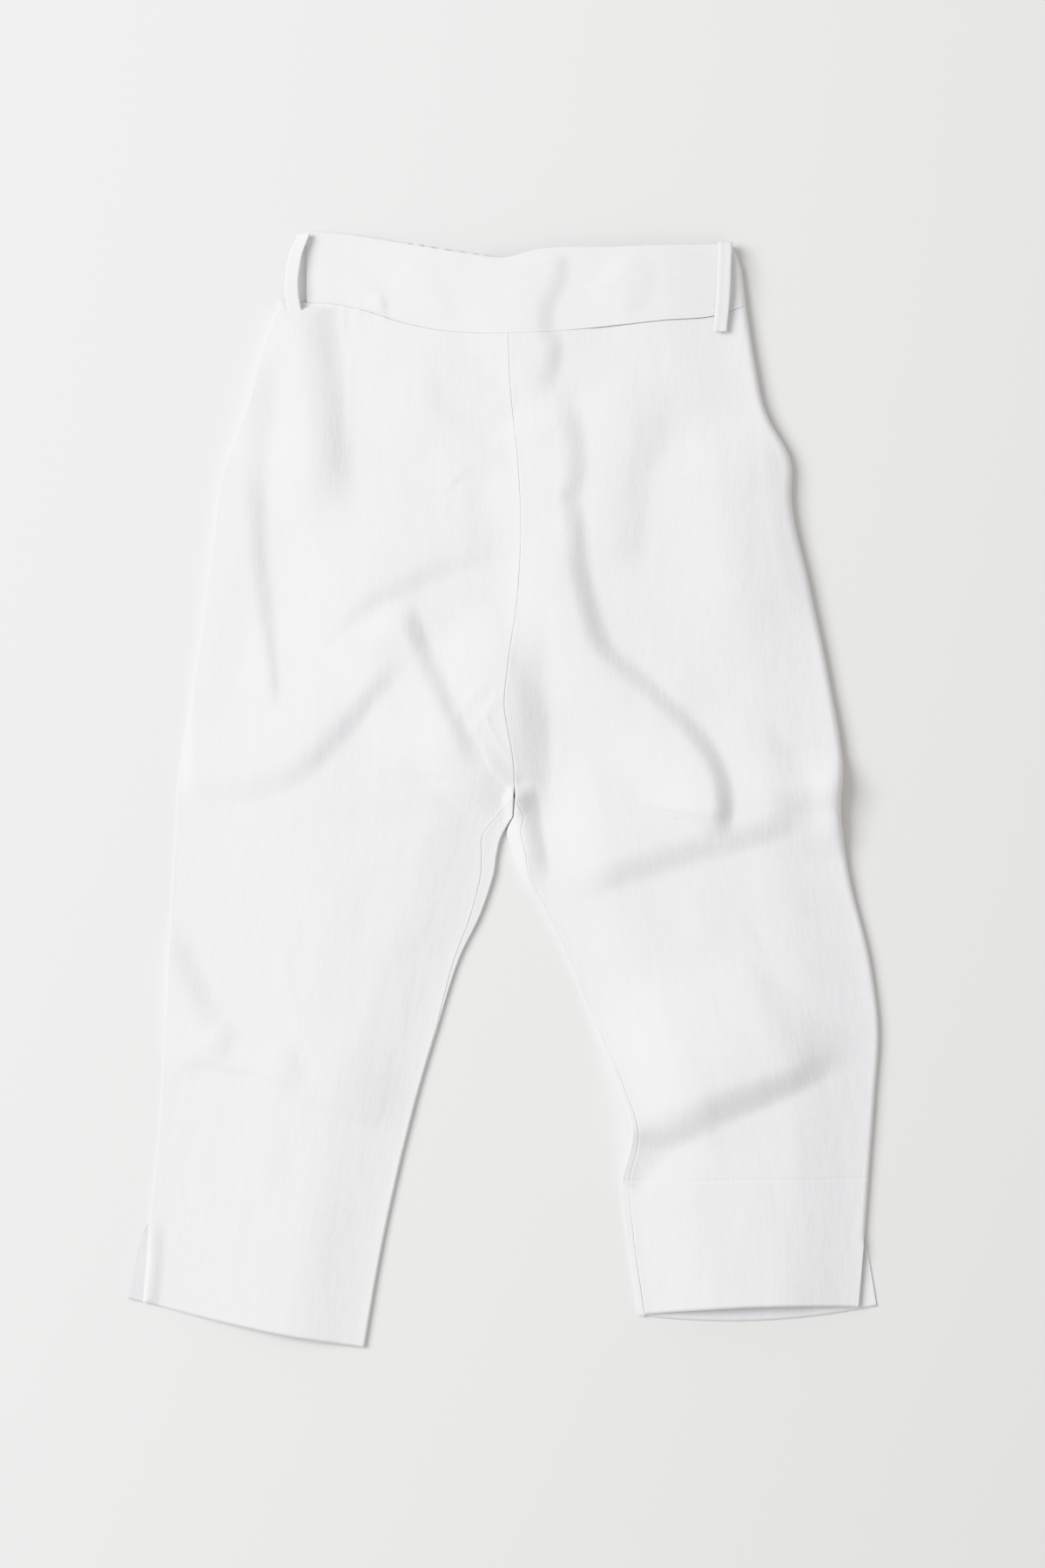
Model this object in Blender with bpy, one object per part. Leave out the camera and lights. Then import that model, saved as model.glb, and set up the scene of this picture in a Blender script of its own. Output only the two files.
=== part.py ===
"""Capri trousers laid flat, front up: four leg panels, a two-part waistband and two belt loops.

Every leg is worked out as one flattened tube. A station across the tube starts at the outer edge,
runs over the top to the inner edge and comes back along the floor. The front panel is the top of
that tube and the back panel is its floor with both rolled edges. Lengths below are in millimetres;
+X is the wearer's left, +Y points to the waist and +Z is up from the floor.
"""

import math

import bpy
import numpy as np

MM = 0.001
GAP = 0.3  # clear space at every seam
CLOTH = 1.2  # wall of one panel
TURN_UP = 0.9  # what the turned-up hem adds inside
BAND = 1.8  # wall of the waistband, cloth on both sides of a stiffener
STRAP = 1.5  # wall of a belt loop

HIP_ROWS = 16  # stations from the waist seam to the crotch, the same on both legs
LEG_ROWS = 15  # stations from the crotch to the hem
CROTCH = 408.0  # distance down from the waist seam at the centre
CLOSING = 34.0  # length over which front and back come together above the crotch
CLOSED = 392.0  # front and back meet at the centre from here down
EDGE_RISE = 60.0  # the top swells over this distance from an edge
GATHER_PITCH = 10.5
GATHER_HEIGHT = 2.4

# Outline curves: distance down the leg, then the point on the floor plan.
CENTRE_SEAM = [  # down, x, y
    (0, 4, 358),
    (42, 6, 314),
    (87, 11, 266),
    (143, 14, 210),
    (208, 11, 148),
    (262, 4, 98),
    (300, 1, 64),
    (325, 4, 46),
    (355, 8, 22),
    (380, 9, 2),
    (408, 8, -22),
]
RIGHT_OUTER = [
    (0, -176, 386),
    (42, -191, 347),
    (87, -202, 304),
    (143, -222, 248),
    (208, -232, 179),
    (290, -244, 90),
    (350, -256, 17),
    (408, -260, -41),
    (478, -264, -107),
    (567, -268, -190),
    (625, -271, -245),
    (700, -276, -307),
    (737, -280, -344),
    (805, -285, -406),
]
RIGHT_INNER = [
    (408, 8, -22),
    (420, -1, -37),
    (434, -5, -52),
    (450, -7, -66),
    (478, -17, -97),
    (518, -35, -135),
    (567, -53, -192),
    (625, -70, -250),
    (700, -91, -338),
    (737, -98, -373),
    (805, -110, -442),
]
LEFT_OUTER = [
    (0, 192, 381),
    (42, 200, 331),
    (87, 210, 292),
    (115, 227, 260),
    (143, 228, 228),
    (208, 242, 161),
    (290, 258, 85),
    (350, 268, 24),
    (408, 267, -24),
    (440, 272, -60),
    (520, 291, -141),
    (573, 297, -193),
    (620, 294, -241),
    (692, 289, -308),
    (733, 286, -350),
    (795, 281, -410),
]
LEFT_INNER = [
    (408, 8, -22),
    (416, 3, -33),
    (428, 6, -48),
    (440, 10, -61),
    (480, 30, -97),
    (520, 50, -136),
    (573, 72, -191),
    (620, 90, -235),
    (660, 101, -275),
    (692, 94, -310),
    (733, 97, -350),
    (795, 107, -417),
]

# Heights along a leg: half the rolled edge outside and inside, and the swell of the top above them.
RIGHT_PROFILE = [  # down, outer roll, inner roll, swell
    (0, 2.4, 3.2, 5.0),
    (143, 2.4, 3.2, 5.2),
    (350, 2.4, 3.2, 5.4),
    (420, 2.4, 3.0, 5.4),
    (567, 2.4, 2.8, 5.4),
    (700, 2.7, 3.0, 6.2),
    (805, 2.9, 3.1, 7.0),
]
LEFT_PROFILE = [
    (0, 4.6, 3.2, 5.0),
    (143, 5.4, 3.2, 5.2),
    (290, 4.6, 3.2, 5.3),
    (345, 6.0, 3.2, 5.4),
    (372, 10.0, 3.2, 5.4),
    (395, 9.5, 3.0, 5.4),
    (425, 5.0, 2.8, 5.4),
    (470, 3.4, 2.8, 5.4),
    (567, 3.2, 2.8, 5.4),
    (692, 3.2, 3.0, 6.0),
    (795, 3.1, 3.1, 7.0),
]

# How far the inseam lies in from the inner edge: distance down the leg, inset.
RIGHT_INSET = [(392, 0), (412, 15), (434, 12), (470, 8.5), (518, 3.5), (560, 0.8), (805, 0.8)]
LEFT_INSET = [(392, 0), (412, 10), (430, 11), (445, 8), (480, 6), (700, 6), (795, 5)]

RIGHT_LEG = {
    "outer": RIGHT_OUTER,
    "inner": RIGHT_INNER,
    "profile": RIGHT_PROFILE,
    "length": 805.0,
    "hem_line": 700.0,
    "vent_top": 737.0,
    "inset": RIGHT_INSET,
    "flare": 12.5,  # how far the back panel shows past the front at the bottom of the vent
    "flare_power": 0.45,
    "front_bow": 3.0,  # how far the middle of the hem edge drops below its ends
    "back_bow": 3.0,
}
LEFT_LEG = {
    "outer": LEFT_OUTER,
    "inner": LEFT_INNER,
    "profile": LEFT_PROFILE,
    "length": 795.0,
    "hem_line": 692.0,
    "vent_top": 733.0,
    "inset": LEFT_INSET,
    "flare": 14.5,
    "flare_power": 1.0,
    "front_bow": -4.0,
    "back_bow": 8.0,
}

WAIST_SEAM = [  # x, y
    (-176, 386),
    (-156, 384),
    (-136, 383),
    (-109, 377),
    (-81, 368),
    (-54, 362),
    (-19, 359),
    (15, 359),
    (70, 363),
    (126, 369),
    (167, 373),
    (192, 381),
]
BAND_TOP = [
    (-160, 441),
    (-123, 438),
    (-81, 431),
    (-26, 422),
    (2, 419),
    (26, 425),
    (84, 427),
    (180, 430),
]
BACK_WAIST = [(-176, 386), (4, 358), (192, 381)]
BAND_LEFT_EDGE = [(0.0, -156), (1.0, -156)]  # share of the band's depth, x
BAND_RIGHT_EDGE = [(0.0, 192), (0.35, 190), (0.7, 187), (1.0, 180)]

# Folds: a long gentle rise to a crest, then a short steep drop. Each row holds the path of the drop,
# the height at its start and end, the drop's width at its start and end, the width of the gentle
# side, and the lengths over which the fold fades in and out. The drop is on the left hand of
# someone walking the path.
CREST_OFFSET = 0.45  # the crest stands this share of the drop's width before its steepest line
FOLDS = {
    "long S down from the band": ([
        (43, 426), (44, 405), (34, 383), (32, 363), (39, 346), (32, 319), (19, 290)
    ], 3.2, 4.0, 18, 20, 60, 12, 40),
    "long S down the left front": ([
        (40, 328), (50, 297), (55, 272), (55, 244), (51, 228), (55, 210), (59, 170), (66, 141),
        (77, 110), (101, 88), (128, 64), (154, 37), (167, 14), (172, -8), (170, -32), (161, -60)
    ], 5.0, 7.4, 20, 16, 84, 40, 56),
    "soft drop beside the S": ([
        (124, 335), (115, 283), (104, 244), (99, 199), (94, 161)
    ], 4.4, 3.8, 42, 32, 56, 44, 44),
    "swell on the left hip": ([
        (208, 321), (217, 252), (220, 210), (228, 169), (246, 100)
    ], 6.5, 4.0, 26, 18, 110, 60, 60),
    "centre ridge down to the crotch": ([
        (19, 155), (23, 110), (26, 72), (28, 38), (27, 7), (25, -31)
    ], 2.4, 9.0, 38, 34, 76, 46, 52),
    "arch on the right hip": ([
        (15, 183), (-18, 181), (-46, 177), (-79, 161), (-112, 139), (-148, 90)
    ], 2.2, 5.4, 17, 28, 84, 60, 46),
    "sweep to the right knee": ([
        (-75, 112), (-112, 67), (-135, 41), (-164, 15), (-203, 2), (-257, 1)
    ], 6.6, 5.6, 21, 34, 100, 34, 10),
    "pull to the crotch": ([
        (-83, 155), (-72, 126), (-53, 80), (-34, 41), (-18, 12)
    ], 5.0, 5.0, 21, 17, 66, 38, 52),
    "right hip wedge": ([
        (-190, 362), (-194, 300), (-197, 259), (-196, 201), (-189, 141), (-183, 97), (-179, 57)
    ], 7.4, 2.6, 36, 7, 64, 50, 36),
    "fall of the right hip to the wedge": ([
        (-208, 210), (-217, 155), (-222, 107), (-236, 45)
    ], 3.4, 3.4, 44, 36, 44, 50, 44),
    "gather under the right loop": ([
        (-141, 382), (-138, 344), (-134, 321), (-132, 286), (-130, 224)
    ], 6.4, 5.6, 28, 30, 60, 6, 66),
    "left knee fold": ([
        (253, -17), (226, -24), (194, -35), (154, -46), (114, -58), (77, -70), (36, -88)
    ], 5.4, 8.0, 27, 30, 96, 52, 56),
    "left shin fold": ([
        (284, -199), (240, -223), (200, -239), (160, -253), (121, -271), (95, -293), (84, -308)
    ], 7.0, 12.0, 21, 40, 104, 56, 10),
    "right shin drop": ([
        (-268, -100), (-250, -147), (-236, -177), (-209, -208)
    ], 3.6, 4.4, 20, 22, 50, 44, 44),
    "right shin crease": ([
        (-153, -239), (-179, -231), (-210, -222), (-251, -216)
    ], 2.0, 2.8, 14, 8, 54, 50, 24),
    "right shin swell": ([
        (-64, -274), (-118, -256), (-164, -242), (-206, -231)
    ], 3.4, 2.6, 18, 16, 64, 44, 40),
}


def smooth_step(value):
    t = np.clip(value, 0.0, 1.0)
    return t * t * (3.0 - 2.0 * t)


def curve(table, column, at):
    """A smooth curve through one column of a table whose first column is the position."""
    knots = np.array([row[0] for row in table], float)
    values = np.array([row[column] for row in table], float)
    if len(knots) > 2:
        slopes = np.gradient(values, knots)
    else:
        slopes = np.full(2, np.diff(values) / np.diff(knots))
    at = np.clip(np.asarray(at, float), knots[0], knots[-1])
    i = np.clip(np.searchsorted(knots, at, side="right") - 1, 0, len(knots) - 2)
    span = knots[i + 1] - knots[i]
    t = (at - knots[i]) / span
    return (
        values[i] * (1 + 2 * t) * (1 - t) ** 2
        + values[i + 1] * t * t * (3 - 2 * t)
        + slopes[i] * span * t * (1 - t) ** 2
        - slopes[i + 1] * span * t * t * (1 - t)
    )


def dense_path(points, count=40):
    """A fold's path as a smooth curve of many points."""
    table = [(n, x, y) for n, (x, y) in enumerate(points)]
    at = np.linspace(0, len(points) - 1, count)
    return np.stack([curve(table, 1, at), curve(table, 2, at)], axis=1)


def fold_height(fold, x, y):
    points, low, high, steep, steep_end, gentle, fade_in, fade_out = fold
    path = dense_path(points)
    start = path[:-1]
    step = path[1:] - start
    where = np.stack([x, y], axis=-1)[..., None, :] - start
    share = np.clip((where * step).sum(-1) / (step**2).sum(-1), 0, 1)
    away = where - share[..., None] * step
    distance = np.hypot(away[..., 0], away[..., 1])
    nearest = distance.argmin(-1)
    pick = nearest[..., None]
    distance = np.take_along_axis(distance, pick, -1)[..., 0]
    side = step[..., 0] * away[..., 1] - step[..., 1] * away[..., 0]
    side = np.take_along_axis(side, pick, -1)[..., 0]
    along = (nearest + np.take_along_axis(share, pick, -1)[..., 0]) / len(step)
    whole = np.hypot(step[:, 0], step[:, 1]).sum()
    fade = smooth_step(along * whole / fade_in) * smooth_step((1 - along) * whole / fade_out)
    drop = steep + (steep_end - steep) * along
    across = np.copysign(distance, side) + CREST_OFFSET * drop
    reach = np.where(across > 0, drop, gentle * (0.3 + 0.7 * fade))
    bump = (1 - np.clip(np.abs(across) / reach, 0, 1) ** 2) ** 2
    return (low + (high - low) * along) * bump * fade


def all_folds(x, y):
    return sum(fold_height(fold, x, y) for fold in FOLDS.values())


def rise(distance):
    """Swell of the top with distance from an edge, 0 at the edge and 1 well inside."""
    return smooth_step(distance / EDGE_RISE)


def wall(leg, down):
    """A panel's thickness, greater inside the turned-up hem."""
    return CLOTH + TURN_UP * smooth_step((down - leg["hem_line"]) / 10.0 + 0.5)


def station_ends(leg, down, layer):
    """The outer and inner end of a station on the floor plan, and how closed its edges are."""
    outer = np.array([curve(leg["outer"], 1, down), curve(leg["outer"], 2, down)])
    edge = CENTRE_SEAM if down <= CROTCH else leg["inner"]
    inner = np.array([curve(edge, 1, down), curve(edge, 2, down)])
    inner = inner - (inner - outer) / np.linalg.norm(inner - outer) * GAP * 0.6
    vent = (down - leg["vent_top"]) / (leg["length"] - leg["vent_top"])
    if layer == "back" and vent > 0:
        reach = leg["flare"] * vent ** leg["flare_power"]
        outer = outer + (outer - inner) / np.linalg.norm(outer - inner) * reach
    closed_outer = 1.0 - smooth_step((down - leg["vent_top"]) / 12.0)
    closed_inner = smooth_step((down - CLOSED) / CLOSING + 1.0)
    return outer, inner, closed_outer, closed_inner


def plan_point(leg, down, layer, share):
    """Floor-plan points at a share of the way along a station, bent to the waist seam and hem."""
    outer, inner, _, _ = station_ends(leg, down, layer)
    x = outer[0] + (inner[0] - outer[0]) * share
    y = outer[1] + (inner[1] - outer[1]) * share
    first = np.array([curve(leg["outer"], c, 0.0) for c in (1, 2)])
    last = np.array([curve(CENTRE_SEAM, c, 0.0) for c in (1, 2)])
    waist_x = first[0] + (last[0] - first[0]) * share
    waist_y = first[1] + (last[1] - first[1]) * share
    if layer == "front":
        y = y + (curve(WAIST_SEAM, 1, waist_x) - waist_y) * (1 - smooth_step(down / 90.0))
    hem = smooth_step((down - leg["hem_line"]) / (leg["length"] - leg["hem_line"]))
    return x, y - leg[layer + "_bow"] * hem * 4 * share * (1 - share)


def top_height(leg, down, s, width, x, y):
    """Height of the outside of the front over the floor, before its edges roll down."""
    share = np.clip(s / width, 0, 1)
    closed_inner = smooth_step((down - CLOSED) / CLOSING + 1.0)
    roll = curve(leg["profile"], 1, down) * (1 - share) + curve(leg["profile"], 2, down) * share
    swell = curve(leg["profile"], 3, down)
    inside = rise(s) * (1 - closed_inner * (1 - rise(width - s)))
    folds = all_folds(x, y) * (0.5 + 0.5 * inside)
    least = 2 * wall(leg, down) + 1.2
    return np.maximum(2 * roll + swell * inside + folds, least)


def leg_sections(leg, down):
    """The front and back paths of a station in its own upright plane, outside face, outer end first."""
    outer, inner, closed_outer, closed_inner = station_ends(leg, down, "front")
    width = float(np.linalg.norm(inner - outer))
    roll_out = float(curve(leg["profile"], 1, down))
    roll_in = float(curve(leg["profile"], 2, down))
    quarter = np.linspace(0.0, math.pi / 2, 24)
    arc_out = 1.3 * roll_out * (1 - np.cos(quarter))
    arc_in = width - 1.3 * roll_in * (1 - np.cos(quarter))
    middle = np.linspace(1.3 * roll_out, width - 1.3 * roll_in, 120)
    s = np.concatenate([arc_out[:-1], middle, arc_in[::-1][1:]])
    x, y = plan_point(leg, down, "front", s / width)
    top = top_height(leg, down, s, width, x, y)
    ease_out = np.sqrt(1 - (1 - np.clip(s / (1.3 * roll_out), 0, 1)) ** 2)
    ease_in = np.sqrt(1 - (1 - np.clip((width - s) / (1.3 * roll_in), 0, 1)) ** 2)
    low_out = roll_out + (top - roll_out) * ease_out
    top = top + (low_out - top) * closed_outer
    low_in = roll_in + (top - roll_in) * ease_in
    top = top + (low_in - top) * closed_inner
    inset = float(curve(leg["inset"], 1, down))
    seam = width - inset
    keep = s < seam - GAP / 2
    front_s = np.append(s[keep], seam - GAP / 2)
    front_z = np.append(top[keep], np.interp(seam - GAP / 2, s, top))
    if closed_outer > 0.5:
        front_z[0] += GAP / 2
    if closed_inner > 0.5 and inset < 0.5:
        front_z[-1] += GAP / 2

    back_outer, back_inner, _, _ = station_ends(leg, down, "back")
    back_width = float(np.linalg.norm(back_inner - back_outer))
    extra = back_width - width
    up_out = roll_out * (1 - np.sin(quarter)) * closed_outer
    up_in = roll_in * (1 - np.sin(quarter)) * closed_inner
    bottom_out_s = roll_out * (1 - np.cos(quarter))
    bottom_in_s = back_width - roll_in * (1 - np.cos(quarter))
    floor_s = np.linspace(roll_out, back_width - roll_in, 60)[1:-1]
    back_s = np.concatenate([bottom_out_s, floor_s, bottom_in_s[::-1]])
    back_z = np.concatenate([up_out, np.zeros(len(floor_s)), up_in[::-1]])
    back_z[0] -= GAP / 2 * closed_outer
    if inset < 0.5:
        back_z[-1] -= GAP / 2 * closed_inner
    over = (s > seam + GAP / 2) & (s < width)
    over_s = np.append(s[over][::-1], seam + GAP / 2) + extra
    over_z = np.append(top[over][::-1], np.interp(seam + GAP / 2, s, top))
    if inset >= 0.5:
        back_s = np.concatenate([back_s, over_s])
        back_z = np.concatenate([back_z, over_z])
    slope = (np.interp(seam + 0.2, s, top) - np.interp(seam - 0.2, s, top)) / 0.4
    at_seam = np.array([slope, -1.0]) / math.hypot(slope, 1.0)
    if inset < 0.5:
        at_seam = np.array([-1.0, 0.0]) if closed_inner > 0.98 else None
    at_side = np.array([1.0, 0.0]) if closed_outer > 0.5 else None
    ends = (at_side, at_seam)
    return (front_s, front_z, width, ends), (back_s, back_z, back_width, ends)


def resample(s, z, cuts, counts, inward, ends):
    """Keep a few points of a path, a set number between cut positions, and offset directions.

    ends holds the offset direction at the first and the last point, where a panel meets its mate."""
    length = np.concatenate([[0], np.cumsum(np.hypot(np.diff(s), np.diff(z)))])
    marks = np.concatenate([[0.0], cuts(length, s), [length[-1]]])
    keep = [np.linspace(a, b, n + 1)[:-1] for a, b, n in zip(marks[:-1], marks[1:], counts)]
    keep = np.append(np.concatenate(keep), length[-1])
    step = 0.6
    ahead = np.clip(keep + step, 0, length[-1])
    behind = np.clip(keep - step, 0, length[-1])
    ds = np.interp(ahead, length, s) - np.interp(behind, length, s)
    dz = np.interp(ahead, length, z) - np.interp(behind, length, z)
    size = np.hypot(ds, dz)
    ns = inward * -dz / size
    nz = inward * ds / size
    for place, direction in zip((0, -1), ends):
        if direction is not None:
            ns[place], nz[place] = direction
    return np.interp(keep, length, s), np.interp(keep, length, z), ns, nz


def panel_grids(leg, layer):
    """Outside and inside point grids of one leg panel."""
    outside, inside = [], []
    hip = np.linspace(GAP / 2, CROTCH, HIP_ROWS + 1)
    for down in np.append(hip[:-1], np.linspace(CROTCH, leg["length"], LEG_ROWS + 1)):
        front, back = leg_sections(leg, down)
        thick = float(wall(leg, down))
        if layer == "front":
            s, z, width, ends = front

            def cuts(length, path_s):
                return [np.interp(5.5, path_s, length), length[-1] - 7.0]

            s, z, ns, nz = resample(s, z, cuts, (4, 12, 2), -1.0, ends)
        else:
            s, z, width, ends = back
            flat = (curve(leg["profile"], 1, down), curve(leg["profile"], 2, down))
            turn_in = np.argmax(s > width - flat[1] - 1e-6)

            def cuts(length, path_s, first=flat[0], turn=turn_in):
                start = np.interp(first, path_s[: len(path_s) // 2], length[: len(path_s) // 2])
                return [start, length[turn]]

            s, z, ns, nz = resample(s, z, cuts, (3, 3, 6), 1.0, ends)
        grid = []
        for s_here, z_here in ((s, z), (s + ns * thick, z + nz * thick)):
            x, y = plan_point(leg, down, layer, s_here / width)
            grid.append(np.stack([x, y, z_here], axis=-1))
        outside.append(grid[0])
        inside.append(grid[1])
    return np.array(outside), np.array(inside)


def band_plan(depth, share, layer):
    """Floor-plan points of the waistband at a share of its depth and of its width."""
    left = curve(BAND_LEFT_EDGE, 1, depth)
    right = curve(BAND_RIGHT_EDGE, 1, depth)
    x = left + (right - left) * share
    if layer == "front":
        low = curve(WAIST_SEAM, 1, x) + 2 * GAP
        high = curve(BAND_TOP, 1, x)
    else:
        low = np.interp(x, *np.transpose(BACK_WAIST)) + 2 * GAP
        high = curve(BAND_TOP, 1, x) + 2.0
    return x, low + (high - low) * depth, right - left


def band_top(depth, s, width, x, y):
    right, left = RIGHT_PROFILE[0], LEFT_PROFILE[0]
    roll = right[1] + (left[1] - right[1]) * s / width
    inside = rise(s) * rise(width - s)
    folds = all_folds(x, y) * (0.5 + 0.5 * inside) * (1 - 0.25 * depth)
    height = np.maximum(2 * roll + right[3] * inside + folds, 2 * BAND + 1.6)
    reach = np.clip(np.minimum(s / right[1], (width - s) / left[1]) / 1.3, 0, 1)
    return roll + (height - roll) * np.sqrt(1 - (1 - reach) ** 2)


BAND_ENDS = (np.array([1.0, 0.0]), np.array([-1.0, 0.0]))


def band_grids(layer):
    outside, inside = [], []
    rolls = (RIGHT_PROFILE[0][1], LEFT_PROFILE[0][1])
    quarter = np.linspace(0, math.pi / 2, 16)
    spread = 1.3 if layer == "front" else 1.0
    for depth in np.linspace(0, 1, 4):
        _, _, width = band_plan(depth, 0.5, layer)
        first, last = (spread * roll * (1 - np.cos(quarter)) for roll in rolls)
        middle = np.linspace(first[-1], width - last[-1], 400)
        s = np.concatenate([first[:-1], middle, (width - last[::-1])[1:]])
        if layer == "front":
            x, y, _ = band_plan(depth, s / width, layer)
            z = band_top(depth, s, width, x, y)
            z[[0, -1]] += GAP / 2
            counts = (4, 16, 4)

            def cuts(length, path_s):
                return [np.interp(6, path_s, length), length[-1] - 7.0]

        else:
            z = np.zeros(s.shape)
            for roll, inwards in zip(rolls, (s, width - s)):
                z = z + roll * (1 - np.sqrt(1 - (1 - np.clip(inwards / roll, 0, 1)) ** 2))
            wave = 0.5 - 0.5 * np.cos(2 * math.pi * s / GATHER_PITCH)
            fade = smooth_step((np.minimum(s, width - s) - 8.0) / 25.0)
            z = z + GATHER_HEIGHT * fade * np.maximum(wave - 0.15, 0.0)
            z[[0, -1]] -= GAP / 2
            counts = (3, 66, 3)

            def cuts(length, path_s):
                return [rolls[0] * math.pi / 2, length[-1] - rolls[1] * math.pi / 2]

        inward = -1.0 if layer == "front" else 1.0
        s, z, ns, nz = resample(s, z, cuts, counts, inward, BAND_ENDS)
        for grid, s_here, z_here in ((outside, s, z), (inside, s + ns * BAND, z + nz * BAND)):
            x, y, _ = band_plan(depth, s_here / width, layer)
            grid.append(np.stack([x, y, z_here], axis=-1))
    return np.array(outside), np.array(inside)


def strap_grids(rows, width):
    """A belt loop from rows of centre point and tilt: its face and its underside."""
    upper, lower = [], []
    path = np.array([(x, y, z) for x, y, z, _ in rows], float)
    run = np.gradient(path, axis=0)
    for (x, y, z, tilt), along in zip(rows, run):
        across = np.array([math.cos(math.radians(tilt)), 0.0, math.sin(math.radians(tilt))])
        face = np.cross(across, along)
        face = face / np.linalg.norm(face)
        face = face if face[2] > 0 else -face
        centre = np.array([x, y, z])
        across = across * width / 2
        face = face * STRAP / 2
        upper.append([centre - across + face, centre + face, centre + across + face])
        lower.append([centre - across - face, centre - face, centre + across - face])
    return np.array(upper), np.array(lower)


def shell(name, outside, inside, colour):
    """One closed body between two point grids, with rims along all four edges."""
    rows, columns = outside.shape[:2]
    points = np.concatenate([outside.reshape(-1, 3), inside.reshape(-1, 3)]) * MM
    half = rows * columns
    faces, rims = [], []

    def quad(store, a, b, c, d):
        store.append((a, b, c))
        store.append((a, c, d))

    for i in range(rows - 1):
        for j in range(columns - 1):
            a, b = i * columns + j, i * columns + j + 1
            c, d = b + columns, a + columns
            quad(faces, a, b, c, d)
            quad(faces, half + a, half + d, half + c, half + b)
    for i in range(rows - 1):
        a, d = i * columns, (i + 1) * columns
        quad(rims, a, d, half + d, half + a)
        a, d = a + columns - 1, d + columns - 1
        quad(rims, a, half + a, half + d, d)
    for j in range(columns - 1):
        quad(rims, j, half + j, half + j + 1, j + 1)
        k = half - columns + j
        quad(rims, k, k + 1, half + k + 1, half + k)
    triangles = faces + rims
    corners = points[np.array(triangles)]
    volume = np.einsum("ij,ij->i", corners[:, 0], np.cross(corners[:, 1], corners[:, 2])).sum() / 6
    if volume < 0:
        triangles = [t[::-1] for t in triangles]
    mesh = bpy.data.meshes.new(name)
    mesh.from_pydata(points.tolist(), [], triangles)
    mesh.polygons.foreach_set("use_smooth", [n < len(faces) for n in range(len(triangles))])
    mesh.update()
    thing = bpy.data.objects.new(name, mesh)
    bpy.context.scene.collection.objects.link(thing)
    material = bpy.data.materials.new(name)
    material.use_nodes = True
    surface = material.node_tree.nodes["Principled BSDF"]
    surface.inputs["Base Color"].default_value = (*colour, 1.0)
    surface.inputs["Roughness"].default_value = 0.85
    mesh.materials.append(material)
    print(f"{name}: {len(triangles)} triangles, {abs(volume) * 1e6:.1f} cm3")


for thing in list(bpy.data.objects):
    bpy.data.objects.remove(thing, do_unlink=True)

LINEN = (0.86, 0.86, 0.87)
for side, leg in (("right", RIGHT_LEG), ("left", LEFT_LEG)):
    for layer in ("front", "back"):
        shell(f"{layer}_{side}", *panel_grids(leg, layer), LINEN)
for layer in ("front", "back"):
    shell(f"waistband_{layer}", *band_grids(layer), LINEN)

RIGHT_STRAP = [  # x, y, z, tilt in degrees
    (-157.5, 438, 7.4, 24),
    (-160.0, 432, 8.4, 20),
    (-164.0, 421, 9.8, 12),
    (-166.5, 406, 10.6, 8),
    (-167.0, 394, 11.4, 6),
    (-165.5, 382, 11.0, 4),
    (-162.5, 371, 10.0, 4),
]
LEFT_STRAP = [
    (175.0, 430.5, 13.0, -3),
    (175.0, 424.0, 13.6, -3),
    (174.5, 415.0, 15.6, -3),
    (174.0, 402.0, 17.0, -3),
    (173.5, 389.0, 17.0, -3),
    (172.5, 376.0, 15.8, -3),
    (171.5, 367.0, 14.8, -3),
    (171.0, 360.0, 14.4, -3),
]
shell("belt_loop_right", *strap_grids(RIGHT_STRAP, 11.0), LINEN)
shell("belt_loop_left", *strap_grids(LEFT_STRAP, 11.0), LINEN)
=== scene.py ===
# %% [markdown]
# # Linen capri pants, laid flat
# The garment is two flattened tubes of cloth joined down the middle, with a deep flat waistband in
# front, a gathered elastic one behind, two belt loops and a slit above each hem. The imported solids
# hold the sizes. This lesson makes the cloth you see: a fine thin shell on each solid's own form.

import math

import bpy
import numpy as np
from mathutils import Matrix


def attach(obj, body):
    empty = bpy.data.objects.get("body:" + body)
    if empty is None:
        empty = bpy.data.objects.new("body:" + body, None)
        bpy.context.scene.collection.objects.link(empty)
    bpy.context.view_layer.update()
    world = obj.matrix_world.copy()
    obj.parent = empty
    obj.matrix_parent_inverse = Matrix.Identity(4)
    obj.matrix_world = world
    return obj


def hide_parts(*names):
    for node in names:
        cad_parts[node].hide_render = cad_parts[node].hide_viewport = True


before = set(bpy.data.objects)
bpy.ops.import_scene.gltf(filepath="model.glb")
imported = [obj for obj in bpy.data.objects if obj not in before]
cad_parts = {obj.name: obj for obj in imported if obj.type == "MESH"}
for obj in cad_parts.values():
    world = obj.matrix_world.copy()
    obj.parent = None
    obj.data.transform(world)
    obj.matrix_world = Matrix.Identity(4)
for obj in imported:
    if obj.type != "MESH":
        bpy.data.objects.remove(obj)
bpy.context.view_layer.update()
MM = 0.001
print("solids:", sorted(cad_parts))

# %% [markdown]
# ## The outline
# A pattern cutter draws a trouser leg as two long edges. Each edge here is a short table: how far
# down the leg, then a point on the floor in millimetres. +X is the wearer's left and +Y the waist.
# A Bezier curve or a drawn mesh could hold the same outline, but a table is easier to correct, and a
# smooth curve through every column gives the edge at any distance, so the tables stay short.

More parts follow.
